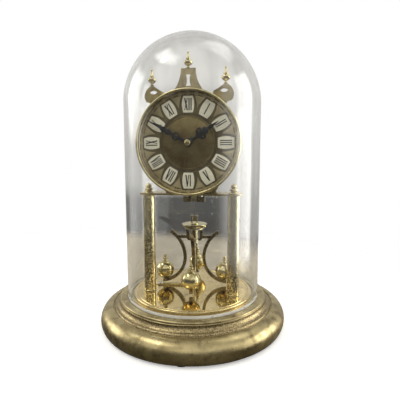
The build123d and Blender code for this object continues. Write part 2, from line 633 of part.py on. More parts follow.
with BuildPart() as click:
    with BuildSketch(facing(RATCHET_BACK)):
        with BuildLine():
            Polyline((11.5, 166.9), (11.7, 166.5), (13.2, 167.3), (17.4, 167.6), (18.6, 169.6),
                     (17.0, 171.4), (14.6, 171.0), close=True)
        make_face()
        with Locations(CLICK_AT):
            Circle(SCREW_RADIUS + PIVOT_CLEARANCE, mode=Mode.SUBTRACT)
    extrude(amount=1.2)
save(click, "click")

with BuildPart() as click_spring:
    with BuildSketch(facing(RATCHET_BACK + 0.2)):
        with BuildLine():
            Polyline((15.2, 171.6), (20.4, 174.4), (24.0, 174.8), (24.0, 175.4), (20.2, 175.1),
                     (14.9, 172.2), close=True)
        make_face()
    extrude(amount=0.8)
    rod((24.6, 175.1), 1.6, BACK_PLATE_BACK - 1.6, BACK_PLATE_BACK)
save(click_spring, "click_spring")

# --- going train --------------------------------------------------------------------------------------

WHEEL_THICKNESS = 1.0
ARBOR_RADIUS = 0.9
ARBOR_BACK, ARBOR_FRONT = BACK_PLATE_FRONT + 0.2, FRONT_PLATE_BACK - 0.2


def arbor(centre):
    rod(centre, ARBOR_RADIUS, ARBOR_BACK, ARBOR_FRONT)
    rod(centre, PIVOT_RADIUS, BACK_PLATE_BACK, FRONT_PLATE_FRONT)


with BuildPart() as first_wheel:
    wheel(WHEEL_TEETH, TRAIN_MODULE, FIRST_PHASE, FIRST_AT, 14.2, WHEEL_THICKNESS)
    crossings(FIRST_AT, 3.4, 11.0, 14.2, 14.2 + WHEEL_THICKNESS)
    wheel(PINION_LEAVES, BARREL_MODULE, FIRST_PINION_PHASE, FIRST_AT, 0.1, 2.4)
    arbor(FIRST_AT)
save(first_wheel, "first_wheel")

with BuildPart() as second_wheel:
    wheel(WHEEL_TEETH, TRAIN_MODULE, SECOND_PHASE, SECOND_AT, 10.0, WHEEL_THICKNESS)
    crossings(SECOND_AT, 3.4, 11.0, 10.0, 10.0 + WHEEL_THICKNESS)
    wheel(PINION_LEAVES, TRAIN_MODULE, SECOND_PINION_PHASE, SECOND_AT, 13.6, 2.1)
    arbor(SECOND_AT)
save(second_wheel, "second_wheel")

CANNON_BACK, CANNON_TIP = 17.8, 28.9
with BuildPart() as centre_wheel:
    wheel(CENTRE_TEETH, GOING_MODULE, CENTRE_PHASE, CENTRE_AT, -1.4, WHEEL_THICKNESS)
    crossings(CENTRE_AT, 3.0, 9.6, -1.4, -1.4 + WHEEL_THICKNESS)
    wheel(PINION_LEAVES, TRAIN_MODULE, CENTRE_PINION_PHASE, CENTRE_AT, 9.6, 2.0)
    rod(CENTRE_AT, ARBOR_RADIUS, ARBOR_BACK, ARBOR_FRONT)
    rod(CENTRE_AT, PIVOT_RADIUS, BACK_PLATE_BACK, ARBOR_BACK)
    rod(CENTRE_AT, CENTRE_ARBOR_RADIUS, ARBOR_FRONT, 30.6)
save(centre_wheel, "centre_wheel")

with BuildPart() as third_wheel:
    wheel(THIRD_TEETH, GOING_MODULE, THIRD_PHASE, THIRD_AT, 3.0, WHEEL_THICKNESS)
    crossings(THIRD_AT, 2.6, 7.0, 3.0, 3.0 + WHEEL_THICKNESS)
    wheel(THIRD_LEAVES, GOING_MODULE, THIRD_PINION_PHASE, THIRD_AT, -1.8, 2.0)
    arbor(THIRD_AT)
save(third_wheel, "third_wheel")

ESCAPE_TEETH = 20
ESCAPE_TIP, ESCAPE_ROOT = 8.0, 6.5
ESCAPE_BACK = 6.6
# Corners of one escape tooth: radius and share of the pitch.
ESCAPE_TOOTH = [(ESCAPE_ROOT, -0.45), (ESCAPE_TIP, -0.06), (ESCAPE_TIP, 0.0), (ESCAPE_ROOT, 0.2)]
with BuildPart() as escape_wheel:
    with BuildSketch(facing(ESCAPE_BACK)):
        with BuildLine():
            saw = []
            for tooth in range(ESCAPE_TEETH):
                for radius, share in ESCAPE_TOOTH:
                    x, z = polar(radius, 90 + 360 * (tooth + share) / ESCAPE_TEETH)
                    saw.append((ESCAPE_AT[0] + x, ESCAPE_AT[1] + z))
            Polyline(*saw, close=True)
        make_face()
    extrude(amount=0.8)
    crossings(ESCAPE_AT, 2.2, 5.6, ESCAPE_BACK, ESCAPE_BACK + 0.8)
    wheel(THIRD_LEAVES, GOING_MODULE, ESCAPE_PINION_PHASE, ESCAPE_AT, 2.6, 1.8)
    arbor(ESCAPE_AT)
save(escape_wheel, "escape_wheel")

ANCHOR_PIN_FORWARD = -6.8
ANCHOR_PIN_TOP = 229.4
ANCHOR_PIN_RADIUS = 0.5
with BuildPart() as anchor:
    with BuildSketch(facing(ESCAPE_BACK - 0.2)):
        with BuildLine():
            # Yoke over the escape wheel, with a pallet at each end that stays outside the teeth's circle.
            Polyline((-9.3, 208.4), (-8.3, 208.8), (-6.9, 213.6), (-2.0, 215.6), (2.0, 215.6), (6.9, 213.6),
                     (8.3, 208.8), (9.3, 208.4), (8.9, 214.6), (2.6, 219.6), (-2.6, 219.6), (-8.9, 214.6),
                     close=True)
        make_face()
    extrude(amount=1.2)
    rod(ANCHOR_AT, ANCHOR_ARBOR_RADIUS, ANCHOR_PIN_FORWARD - 0.8, ARBOR_FRONT)
    rod(ANCHOR_AT, PIVOT_RADIUS, ARBOR_FRONT, FRONT_PLATE_FRONT)
    with BuildSketch(Plane.XY.offset(ANCHOR_AT[1])):
        with Locations((0, -ANCHOR_PIN_FORWARD)):
            Circle(ANCHOR_PIN_RADIUS)
    extrude(amount=ANCHOR_PIN_TOP - ANCHOR_AT[1])
save(anchor, "anchor")

# --- motion work and hands ----------------------------------------------------------------------------

CANNON_PIPE_RADIUS = 1.3
with BuildPart() as cannon_pinion:
    wheel(CANNON_LEAVES, CANNON_MODULE, CANNON_PHASE, CENTRE_AT, CANNON_BACK, 1.4)
    rod(CENTRE_AT, CANNON_PIPE_RADIUS, CANNON_BACK, CANNON_TIP)
    rod(CENTRE_AT, CENTRE_ARBOR_RADIUS, CANNON_BACK, CANNON_TIP, Mode.SUBTRACT)
save(cannon_pinion, "cannon_pinion")

with BuildPart() as minute_wheel:
    wheel(MINUTE_TEETH, CANNON_MODULE, MINUTE_PHASE, MINUTE_AT, CANNON_BACK + 0.1, 1.1)
    wheel(MINUTE_LEAVES, HOUR_MODULE, MINUTE_PINION_PHASE, MINUTE_AT, CANNON_BACK + 1.2, 2.1)
    rod(MINUTE_AT, 0.8 + PIVOT_CLEARANCE, CANNON_BACK, CANNON_BACK + 4, Mode.SUBTRACT)
save(minute_wheel, "minute_wheel")

HOUR_HAND_BACK, HAND_THICKNESS = 25.4, 0.6
MINUTE_HAND_BACK = 28.0
with BuildPart() as hour_wheel:
    wheel(HOUR_TEETH, HOUR_MODULE, HOUR_PHASE, CENTRE_AT, CANNON_BACK + 1.8, 1.2)
    rod(CENTRE_AT, HOUR_PIPE_RADIUS, CANNON_BACK + 1.8, HOUR_HAND_BACK + HAND_THICKNESS)
    rod(CENTRE_AT, CANNON_PIPE_RADIUS + PIVOT_CLEARANCE, CANNON_BACK, 28, Mode.SUBTRACT)
save(hour_wheel, "hour_wheel")

HOUR_HAND_ANGLE, MINUTE_HAND_ANGLE = 55.6, 298.8
HOUR_HAND_LENGTH, MINUTE_HAND_LENGTH = 36.0, 47.5


def hand_plane(back, clock_angle):
    """A plane at the dial's centre, parallel to the dial, with its y axis along a hand."""
    turn = radians(clock_angle)
    return Plane(origin=(0, -back, DIAL_CENTRE), x_dir=(cos(turn), 0, -sin(turn)), z_dir=(0, -1, 0))


with BuildPart() as hour_hand:
    with BuildSketch(hand_plane(HOUR_HAND_BACK, HOUR_HAND_ANGLE)):
        Circle(4.2)
        with BuildLine():
            Polyline((-1.3, 3.0), (-1.0, 8.5), (-4.4, 11.5), (-5.0, 15.5), (-2.4, 19.5), (-3.2, 22.5),
                     (-1.2, 26.0), (0, HOUR_HAND_LENGTH), (1.2, 26.0), (3.2, 22.5), (2.4, 19.5), (5.0, 15.5),
                     (4.4, 11.5), (1.0, 8.5), (1.3, 3.0), close=True)
        make_face()
        Circle(HOUR_PIPE_RADIUS, mode=Mode.SUBTRACT)
    extrude(amount=HAND_THICKNESS)
save(hour_hand, "hour_hand")

with BuildPart() as minute_hand:
    with BuildSketch(hand_plane(MINUTE_HAND_BACK, MINUTE_HAND_ANGLE)):
        Circle(3.6)
        with BuildLine():
            Polyline((-1.2, 2.5), (-0.9, 8.0), (-3.4, 11.0), (-3.6, 15.5), (-1.8, 19.5), (-2.6, 24.0),
                     (-1.0, 30.0), (-0.5, 38.0), (0, MINUTE_HAND_LENGTH), (0.5, 38.0), (1.0, 30.0),
                     (2.6, 24.0), (1.8, 19.5), (3.6, 15.5), (3.4, 11.0), (0.9, 8.0), (1.2, 2.5),
                     close=True)
        make_face()
        Circle(CANNON_PIPE_RADIUS, mode=Mode.SUBTRACT)
    extrude(amount=HAND_THICKNESS)
save(minute_hand, "minute_hand")

with BuildPart() as hand_nut:
    rod(CENTRE_AT, 2.9, CANNON_TIP, CANNON_TIP + 1.0)
    rod(CENTRE_AT, 2.3, CANNON_TIP + 1.0, CANNON_TIP + 2.2)
    rod(CENTRE_AT, CENTRE_ARBOR_RADIUS, CANNON_TIP, CANNON_TIP + 1.7, Mode.SUBTRACT)
save(hand_nut, "hand_nut")

# --- suspension -------------------------------------------------------------------------------------

SUSPENSION_Y = -SUSPENSION_FORWARD
SADDLE_TOP = 240.0
TOP_BLOCK_BOTTOM = 232.5
FORK_HEIGHT = 226.5
SHELF_BOTTOM = 238.2
SADDLE_WIDTH = 24.0
SPRING_BOTTOM = 106.0
CAP_TOP = 111.6

with BuildPart() as suspension_saddle:
    # A back strip on the plate, and a shelf that the top block hangs in.
    with BuildSketch(facing(BACK_PLATE_BACK - 1.5)):
        with Locations((0, 227.0)):
            Rectangle(SADDLE_WIDTH, 26)
        with Locations((0, 220.5)):
            Rectangle(9, 24, mode=Mode.SUBTRACT)
        with Locations(*SADDLE_SCREWS):
            Circle(SCREW_RADIUS, mode=Mode.SUBTRACT)
    extrude(amount=1.5)
    with BuildSketch(Plane.XY.offset(SHELF_BOTTOM)):
        with Locations((0, (SUSPENSION_Y + 4.0 - BACK_PLATE_BACK) / 2)):
            Rectangle(SADDLE_WIDTH, SUSPENSION_Y + 4.0 + BACK_PLATE_BACK)
        with Locations((0, SUSPENSION_Y)):
            Rectangle(4.4, 3.0, mode=Mode.SUBTRACT)
    extrude(amount=SADDLE_TOP - SHELF_BOTTOM)
save(suspension_saddle, "suspension_saddle")

with BuildPart() as top_block:
    with BuildSketch(Plane.XY.offset(TOP_BLOCK_BOTTOM)):
        with Locations((0, SUSPENSION_Y)):
            Rectangle(4.2, 2.8)
            Rectangle(1.0, 0.3, mode=Mode.SUBTRACT)
    extrude(amount=SADDLE_TOP - TOP_BLOCK_BOTTOM)
    # Pin across the block, resting on the saddle.
    with BuildSketch(Plane.YZ.offset(-4.0)):
        with Locations((SUSPENSION_Y, SADDLE_TOP + 0.7)):
            Circle(0.7)
    extrude(amount=8.0)
    with BuildSketch(Plane.XY.offset(SADDLE_TOP)):
        with Locations((0, SUSPENSION_Y)):
            Rectangle(4.2, 2.8)
    extrude(amount=1.4)
save(top_block, "top_block")

with BuildPart() as suspension_spring:
    with BuildSketch(Plane.XY.offset(SPRING_BOTTOM)):
        with Locations((0, SUSPENSION_Y)):
            Rectangle(0.8, 0.14)
    extrude(amount=SADDLE_TOP - 1.0 - SPRING_BOTTOM)
save(suspension_spring, "suspension_spring")

with BuildPart() as fork:
    with BuildSketch(Plane.XY.offset(FORK_HEIGHT)):
        with Locations((0, SUSPENSION_Y)):
            Rectangle(4.4, 3.4)
        with Locations((0, SUSPENSION_Y - 3.6)):
            Rectangle(3.3, 6.0)
            with Locations((0, -1.5)):
                Rectangle(1.3, 5.0, mode=Mode.SUBTRACT)
        with Locations((0, SUSPENSION_Y)):
            Circle(0.5, mode=Mode.SUBTRACT)
    extrude(amount=1.6)
save(fork, "fork")

GUARD_BOTTOM = 126.6
SLOT_WIDTH = 6.4
with BuildPart() as suspension_guard:
    with BuildSketch(Plane.XY.offset(GUARD_BOTTOM)):
        with Locations((0, SUSPENSION_Y)):
            Rectangle(23, 7.6)
            Rectangle(SLOT_WIDTH, 7.6, mode=Mode.SUBTRACT)
    extrude(amount=PLATFORM_BOTTOM - GUARD_BOTTOM)
    # A strap across the front of the slot joins the two blocks.
    with BuildSketch(Plane.XY.offset(GUARD_BOTTOM + 0.8)):
        with Locations((0, SUSPENSION_Y - 3.2)):
            Rectangle(SLOT_WIDTH, 1.2)
    extrude(amount=PLATFORM_BOTTOM - GUARD_BOTTOM - 0.8)
    with BuildSketch(Plane.XY.offset(PLATFORM_BOTTOM - 2.0)):
        with Locations((0, 5.0)):
            Rectangle(23, 12.0)
        with Locations((0, SUSPENSION_Y + 2.0)):
            Rectangle(SLOT_WIDTH, 14.0, mode=Mode.SUBTRACT)
    extrude(amount=2.0)
    with BuildSketch(Plane.XY.offset(PLATFORM_BOTTOM - 2.0)):
        with Locations(*GUARD_SCREWS):
            Circle(SCREW_RADIUS)
    extrude(amount=2.0, mode=Mode.SUBTRACT)
save(suspension_guard, "suspension_guard")

with BuildPart() as movement_screws:
    screws_forward(PILLARS, FRONT_PLATE_FRONT, -8.0)
    screws_forward(PILLARS, BACK_PLATE_BACK, 8.0)
    screws_forward(SADDLE_SCREWS, BACK_PLATE_BACK - 1.5, 2.9)
    # From below: two through the guard into the platform, and two through the platform into the seat blocks.
    for places, seat, length in ((GUARD_SCREWS, PLATFORM_BOTTOM - 2.0, 2.0),
                                 (SEAT_SCREWS, PLATFORM_BOTTOM, PLATFORM_THICKNESS + 3.5)):
        with BuildSketch(Plane.XY.offset(seat - HEAD_HEIGHT)):
            with Locations(*places):
                Circle(HEAD_RADIUS)
        extrude(amount=HEAD_HEIGHT)
        with BuildSketch(Plane.XY.offset(seat)):
            with Locations(*places):
                Circle(SCREW_RADIUS)
        extrude(amount=length)
save(movement_screws, "movement_screws")

# --- pendulum ---------------------------------------------------------------------------------------

DISC_BOTTOM, DISC_TOP = 101.5, 102.6
HUB_BOTTOM = 81.3
ROD_RADIUS = 1.7
ARM_SECTION = 3.4
ARM_WAIST = (10.4, 64.8)
UPPER_BEND, LOWER_BEND = 35.0, 26.5
ARM_TIP = 94.0
ARM_END_RADIUS = 35.2
PIN_BOTTOM, PIN_TOP = 39.6, 44.0


def pendulum_plane(quarter):
    """Upright plane through the pendulum's axis: local x points outwards along one arm, local y is up."""
    turn = radians(PENDULUM_TURN + 90 * quarter)
    return Plane(origin=(0, SUSPENSION_Y, 0), x_dir=(cos(turn), sin(turn), 0),
                 z_dir=(sin(turn), -cos(turn), 0))


PENDULUM_LEVEL = Plane(origin=(0, SUSPENSION_Y, 0), z_dir=(0, 0, 1),
                       x_dir=(cos(radians(PENDULUM_TURN)), sin(radians(PENDULUM_TURN)), 0))

with BuildPart() as pendulum_hook:
    with BuildSketch(PENDULUM_LEVEL.offset(DISC_TOP)):
        with Locations((-2.9, 0)):
            Rectangle(1.6, 3.4)
        with Locations((2.9, 0)):
            Rectangle(1.2, 3.4)
    extrude(amount=CAP_TOP - 1.0 - DISC_TOP)
    with BuildSketch(PENDULUM_LEVEL.offset(CAP_TOP - 1.0)):
        Rectangle(8.4, 3.4)
        Circle(0.9, mode=Mode.SUBTRACT)
    extrude(amount=1.0)
    with BuildSketch(PENDULUM_LEVEL.offset(DISC_TOP)):
        Circle(4.2)
    extrude(amount=0.8)
save(pendulum_hook, "pendulum_hook")

with BuildPart() as bottom_block:
    with BuildSketch(PENDULUM_LEVEL.offset(SPRING_BOTTOM - 1.0)):
        Rectangle(3.4, 2.4)
    extrude(amount=5.4)
    with BuildSketch(PENDULUM_LEVEL.offset(SPRING_BOTTOM - 0.2)):
        Circle(0.6)
    extrude(amount=6.0, mode=Mode.SUBTRACT)
    # Cross pin that hangs in the hook's uprights.
    with BuildSketch(pendulum_plane(1).offset(-2.1)):
        with Locations((0, SPRING_BOTTOM - 0.4)):
            Circle(0.5)
    extrude(amount=4.2)
    with BuildSketch(PENDULUM_LEVEL.offset(SPRING_BOTTOM - 0.2)):
        Circle(0.6)
    extrude(amount=3.0, mode=Mode.SUBTRACT)
save(bottom_block, "bottom_block")

SPINDLE_RADIUS = 3.4
RING_BOTTOM = 98.2
KNURL_BOTTOM = RING_BOTTOM + 0.9
KNURL_RADIUS = 12.4
with BuildPart() as regulating_disc:
    with BuildSketch(PENDULUM_LEVEL.offset(DISC_BOTTOM)):
        Circle(13.8)
        Circle(SPINDLE_RADIUS + PIVOT_CLEARANCE, mode=Mode.SUBTRACT)
    extrude(amount=DISC_TOP - DISC_BOTTOM)
    with BuildSketch(PENDULUM_LEVEL.offset(KNURL_BOTTOM)):
        Circle(7.0)
        Circle(SPINDLE_RADIUS + PIVOT_CLEARANCE, mode=Mode.SUBTRACT)
    extrude(amount=DISC_BOTTOM - KNURL_BOTTOM)
    with BuildSketch(PENDULUM_LEVEL.offset(KNURL_BOTTOM)):
        Circle(KNURL_RADIUS)
        Circle(SPINDLE_RADIUS + PIVOT_CLEARANCE, mode=Mode.SUBTRACT)
        with PolarLocations(KNURL_RADIUS, 36):
            Circle(0.35, mode=Mode.SUBTRACT)
    extrude(amount=1.6)
save(regulating_disc, "regulating_disc")

with BuildPart() as pendulum_hub:
    # Spindle inside the disc, collar under it, tube between the brackets and a thin rod down to the pin.
    with BuildSketch(PENDULUM_LEVEL.offset(HUB_BOTTOM)):
        Circle(4.4)
    extrude(amount=RING_BOTTOM - 1.0 - HUB_BOTTOM)
    with BuildSketch(PENDULUM_LEVEL.offset(RING_BOTTOM - 1.0)):
        Circle(10.4)
    extrude(amount=1.0)
    with BuildSketch(PENDULUM_LEVEL.offset(RING_BOTTOM)):
        Circle(SPINDLE_RADIUS)
    extrude(amount=DISC_TOP - RING_BOTTOM)
    with BuildSketch(PENDULUM_LEVEL.offset(PIN_TOP)):
        Circle(ROD_RADIUS)
    extrude(amount=HUB_BOTTOM - PIN_TOP)
    with BuildSketch(PENDULUM_LEVEL.offset(PIN_BOTTOM)):
        Circle(0.8)
    extrude(amount=PIN_TOP - PIN_BOTTOM)
save(pendulum_hub, "pendulum_hub")

BRACKET_Z = 88.0


def arm_face(z):
    """Distance of an arm's inner face from the pendulum's axis at height z."""
    reach = UPPER_BEND + ARM_SECTION / 2
    return ARM_WAIST[0] + UPPER_BEND - sqrt(reach ** 2 - (z - ARM_WAIST[1]) ** 2)


with BuildPart() as arm_brackets:
    for quarter in range(4):
        with BuildSketch(pendulum_plane(quarter)):
            low, high = BRACKET_Z - 1.5, BRACKET_Z + 1.5
            with BuildLine():
                Polyline((4.6, 84.0), (7.0, 84.0), (8.6, low), (arm_face(low), low))
                ThreePointArc((arm_face(low), low), (arm_face(BRACKET_Z), BRACKET_Z),
                              (arm_face(high), high))
                Polyline((arm_face(high), high), (8.8, high), (9.2, RING_BOTTOM - 1.0),
                         (6.2, RING_BOTTOM - 1.0), (5.4, 86.0), (4.6, 86.0), (4.6, 84.0))
            make_face()
        extrude(amount=1.5, both=True)
save(arm_brackets, "arm_brackets")


def arm_point(bend, side, angle):
    """A point on an edge of an arm: angle 180 is the waist, less is up and more is down."""
    reach = bend - side * ARM_SECTION / 2
    x, z = polar(reach, angle)
    return (ARM_WAIST[0] + bend + x, ARM_WAIST[1] + z)


TIP_RISE = ARM_TIP - ARM_WAIST[1]
TIP_ANGLE = 180 - degrees(atan2(TIP_RISE, sqrt(UPPER_BEND ** 2 - TIP_RISE ** 2)))
END_REACH = ARM_WAIST[0] + LOWER_BEND - ARM_END_RADIUS
END_ANGLE = 180 + degrees(atan2(sqrt(LOWER_BEND ** 2 - END_REACH ** 2), END_REACH))

with BuildPart() as pendulum_arms:
    for quarter in range(4):
        with BuildSketch(pendulum_plane(quarter)):
            with BuildLine():
                middle_up, middle_down = (TIP_ANGLE + 180) / 2, (END_ANGLE + 180) / 2
                ThreePointArc(arm_point(UPPER_BEND, -1, TIP_ANGLE), arm_point(UPPER_BEND, -1, middle_up),
                              arm_point(UPPER_BEND, -1, 180))
                ThreePointArc(arm_point(LOWER_BEND, -1, 180), arm_point(LOWER_BEND, -1, middle_down),
                              arm_point(LOWER_BEND, -1, END_ANGLE))
                Line(arm_point(LOWER_BEND, -1, END_ANGLE), arm_point(LOWER_BEND, 1, END_ANGLE))
                ThreePointArc(arm_point(LOWER_BEND, 1, END_ANGLE), arm_point(LOWER_BEND, 1, middle_down),
                              arm_point(LOWER_BEND, 1, 180))
                ThreePointArc(arm_point(UPPER_BEND, 1, 180), arm_point(UPPER_BEND, 1, middle_up),
                              arm_point(UPPER_BEND, 1, TIP_ANGLE))
                Line(arm_point(UPPER_BEND, 1, TIP_ANGLE), arm_point(UPPER_BEND, -1, TIP_ANGLE))
            make_face()
        extrude(amount=ARM_SECTION / 2, both=True)
save(pendulum_arms, "pendulum_arms")

BALLS = [polar(BALL_CIRCLE, PENDULUM_TURN + 90 * quarter) for quarter in range(4)]
BALL_TOP = BALL_HEIGHT + BALL_RADIUS + 0.3
BALL_FOOT = 40.6
with BuildPart() as pendulum_balls:
    for x, y in BALLS:
        with Locations((x, SUSPENSION_Y + y, BALL_HEIGHT)):
            Sphere(BALL_RADIUS)
            Cylinder(BALL_RADIUS + SEAM_RISE, 0.9)
        # Bosses on which the ball stands on its arm and its finial stands on the ball.
        with BuildSketch(Plane.XY.offset(BALL_FOOT), Plane.XY.offset(BALL_TOP - 1.0)):
            with Locations((x, SUSPENSION_Y + y)):
                Circle(1.3)
        extrude(amount=1.0)
save(pendulum_balls, "pendulum_balls")

BEAD_RADIUS = 1.6
with BuildPart() as ball_finials:
    top = BALL_TOP
    for x, y in BALLS:
        with BuildSketch(Plane.XZ.offset(-(SUSPENSION_Y + y))):
            with BuildLine():
                Polyline((x, top), (x + 1.0, top), (x + 1.0, top + 0.9))
                ThreePointArc((x + 1.0, top + 0.9), (x + 2.3, top + 2.4), (x + 1.1, top + 3.9))
                Line((x + 1.1, top + 3.9), (x + BEAD_RADIUS, top + 4.9))
                CenterArc((x, top + 4.9), BEAD_RADIUS, 0, 90)
                Line((x, top + 4.9 + BEAD_RADIUS), (x, top))
            make_face()
        revolve(axis=Axis((x, SUSPENSION_Y + y, 0), (0, 0, 1)))
save(ball_finials, "ball_finials")

# --- pendulum lock ------------------------------------------------------------------------------------

CUP_RADIUS = 4.2
CUP_STEM_BOTTOM = 29.0
CUP_FLANGE_BOTTOM = 36.9
CUP_TOP = 39.2
with BuildPart() as lock_cup:
    with BuildSketch(Plane.XY.offset(CUP_STEM_BOTTOM)):
        with Locations((0, SUSPENSION_Y)):
            Circle(LOCK_CUP_BORE)
    extrude(amount=CUP_FLANGE_BOTTOM - CUP_STEM_BOTTOM)
    with BuildSketch(Plane.XY.offset(CUP_FLANGE_BOTTOM)):
        with Locations((0, SUSPENSION_Y)):
            Circle(CUP_RADIUS)
    extrude(amount=CUP_TOP - CUP_FLANGE_BOTTOM)
    with BuildSketch(Plane.XY.offset(CUP_FLANGE_BOTTOM + 0.8)):
        with Locations((0, SUSPENSION_Y)):
            Circle(1.3)
    extrude(amount=CUP_TOP - CUP_FLANGE_BOTTOM, mode=Mode.SUBTRACT)
save(lock_cup, "lock_cup")

LEVER_PIVOT = (LOCK_SCREW_AT[0], -LOCK_SCREW_AT[1])
LEVER_TIP = (-3.1, 5.3)
LEVER_BOTTOM = PLATE_TOP + 0.1
LEVER_DX, LEVER_DY = LEVER_TIP[0] - LEVER_PIVOT[0], LEVER_TIP[1] - LEVER_PIVOT[1]
LEVER_LENGTH = sqrt(LEVER_DX ** 2 + LEVER_DY ** 2)
LEVER_FRAME = Plane(origin=(LEVER_PIVOT[0], LEVER_PIVOT[1], LEVER_BOTTOM),
                    x_dir=(LEVER_DX / LEVER_LENGTH, LEVER_DY / LEVER_LENGTH, 0), z_dir=(0, 0, 1))
BEADS = 10
FIRST_BEAD = 4.6
BEAD_PITCH = (LEVER_LENGTH - 6.2) / (BEADS - 1)
HANDLE_LENGTH = 14.0
with BuildPart() as lock_lever:
    with BuildSketch(LEVER_FRAME):
        with Locations((LEVER_LENGTH / 2, 0)):
            Rectangle(LEVER_LENGTH, 2.0)
        Circle(2.6)
        with Locations((-HANDLE_LENGTH / 2, 0)):
            Rectangle(HANDLE_LENGTH, 2.4)
        with Locations((-HANDLE_LENGTH, 0)):
            Circle(2.4)
        Circle(LOCK_SCREW_RADIUS + PIVOT_CLEARANCE, mode=Mode.SUBTRACT)
    extrude(amount=1.0)
    # A row of turned beads along the arm.
    for bead in range(BEADS):
        with BuildSketch(LEVER_FRAME.offset(0.2)):
            with Locations((FIRST_BEAD + bead * BEAD_PITCH, 0)):
                Circle(1.45)
        extrude(amount=1.5, taper=12)
save(lock_lever, "lock_lever")

SHOULDER_TOP = LEVER_BOTTOM + 1.05
LOCK_SCREW_BOTTOM = 32.0
with BuildPart() as pivot_screws:
    # Shoulder screws of the click and of the lock lever.
    screws_forward([CLICK_AT], RATCHET_BACK - 0.15, 3.0)
    with BuildSketch(Plane.XY.offset(SHOULDER_TOP)):
        with Locations(LEVER_PIVOT):
            Circle(2.2)
    extrude(amount=0.9)
    with BuildSketch(Plane.XY.offset(LOCK_SCREW_BOTTOM)):
        with Locations(LEVER_PIVOT):
            Circle(LOCK_SCREW_RADIUS)
    extrude(amount=SHOULDER_TOP - LOCK_SCREW_BOTTOM)
save(pivot_screws, "pivot_screws")

# --- dome -------------------------------------------------------------------------------------------

INNER_RADIUS = DOME_RADIUS - DOME_WALL
RIM_CHAMFER = 0.6
with BuildPart() as dome:
    with BuildSketch(Plane.XZ):
        with BuildLine():
            Polyline((INNER_RADIUS, DOME_SPRING_LINE), (INNER_RADIUS, SEAT_TOP + RIM_CHAMFER),
                     (INNER_RADIUS + RIM_CHAMFER, SEAT_TOP), (DOME_RADIUS - RIM_CHAMFER, SEAT_TOP),
                     (DOME_RADIUS, SEAT_TOP + RIM_CHAMFER), (DOME_RADIUS, DOME_SPRING_LINE))
            CenterArc((0, DOME_SPRING_LINE), DOME_RADIUS, 0, 90)
            Line((0, DOME_SPRING_LINE + DOME_RADIUS), (0, DOME_SPRING_LINE + INNER_RADIUS))
            CenterArc((0, DOME_SPRING_LINE), INNER_RADIUS, 0, 90)
        make_face()
    revolve(axis=Axis.Z)
save(dome, "dome")
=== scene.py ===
import math

import bmesh
import bpy
from mathutils import Matrix, Vector, noise


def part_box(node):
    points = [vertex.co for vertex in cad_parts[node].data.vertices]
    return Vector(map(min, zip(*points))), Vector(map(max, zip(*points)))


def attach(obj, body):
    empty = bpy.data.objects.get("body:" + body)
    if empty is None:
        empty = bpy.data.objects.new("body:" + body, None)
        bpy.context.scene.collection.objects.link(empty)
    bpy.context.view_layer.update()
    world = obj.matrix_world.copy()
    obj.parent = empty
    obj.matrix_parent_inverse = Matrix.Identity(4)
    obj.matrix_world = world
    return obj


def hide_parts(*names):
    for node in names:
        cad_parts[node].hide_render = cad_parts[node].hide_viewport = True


# Looks of the anniversary clock: a torsion-pendulum movement on two embossed columns under a glass dome.
# Lengths in this script are millimetres until a mesh is made; the mesh itself is in metres.
MM = 0.001
TAU = 2 * math.pi
SAME_PLACE = 1e-7  # metres

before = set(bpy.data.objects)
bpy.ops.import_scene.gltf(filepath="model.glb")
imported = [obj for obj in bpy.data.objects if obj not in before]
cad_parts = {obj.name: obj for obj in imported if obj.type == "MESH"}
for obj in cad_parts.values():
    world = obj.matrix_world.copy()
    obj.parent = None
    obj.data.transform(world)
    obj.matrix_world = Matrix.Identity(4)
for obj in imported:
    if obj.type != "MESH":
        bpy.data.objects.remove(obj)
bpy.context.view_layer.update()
SCENE = bpy.context.scene


# --- places taken from the frame ---

def box_mm(node):
    """Lowest and highest corner of a CAD node, in millimetres."""
    low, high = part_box(node)
    return low / MM, high / MM


DIAL_LOW, DIAL_HIGH = box_mm("dial_plate")
DIAL_Z = (DIAL_LOW.z + DIAL_HIGH.z) / 2
DIAL_RADIUS = (DIAL_HIGH.z - DIAL_LOW.z) / 2
DIAL_FRONT = -DIAL_LOW.y  # "front" distances grow towards the viewer, so front = -y
PLATE_TOP = box_mm("base_plate")[1].z
PLATE_RADIUS = box_mm("base_plate")[1].x
DECK_TOP = box_mm("base_shell")[1].z
FLOOR_GAP = box_mm("base_shell")[0].z
BASE_RADIUS = box_mm("base_shell")[1].x
PLATFORM_TOP = box_mm("platform")[1].z
DISC_LOW, DISC_HIGH = box_mm("regulating_disc")
PENDULUM_AXIS = ((DISC_LOW + DISC_HIGH) / 2).xy
PENDULUM_TURN = math.radians(3.7)


# --- mesh helpers ---

def arc(first, through, last, steps=10):
    """Points on the circle through three points, from the first to the last."""
    ax, ay = first
    bx, by = through
    cx, cy = last
    d = 2 * (ax * (by - cy) + bx * (cy - ay) + cx * (ay - by))
    a2, b2, c2 = ax * ax + ay * ay, bx * bx + by * by, cx * cx + cy * cy
    ux = (a2 * (by - cy) + b2 * (cy - ay) + c2 * (ay - by)) / d
    uy = (a2 * (cx - bx) + b2 * (ax - cx) + c2 * (bx - ax)) / d
    start = math.atan2(ay - uy, ax - ux)
    mid = (math.atan2(by - uy, bx - ux) - start) % TAU
    end = (math.atan2(cy - uy, cx - ux) - start) % TAU
    if mid > end:
        end -= TAU
    radius = math.hypot(ax - ux, ay - uy)
    angles = [start + end * i / steps for i in range(steps + 1)]
    return [(ux + radius * math.cos(angle), uy + radius * math.sin(angle)) for angle in angles]


def divided(points, step):
    """The same closed outline with points no further apart than step."""
    finer = []
    for here, there in zip(points, points[1:] + points[:1]):
        count = max(1, math.ceil(math.dist(here, there) / step))
        for i in range(count):
            finer.append(tuple(a + (b - a) * i / count for a, b in zip(here, there)))
    return finer


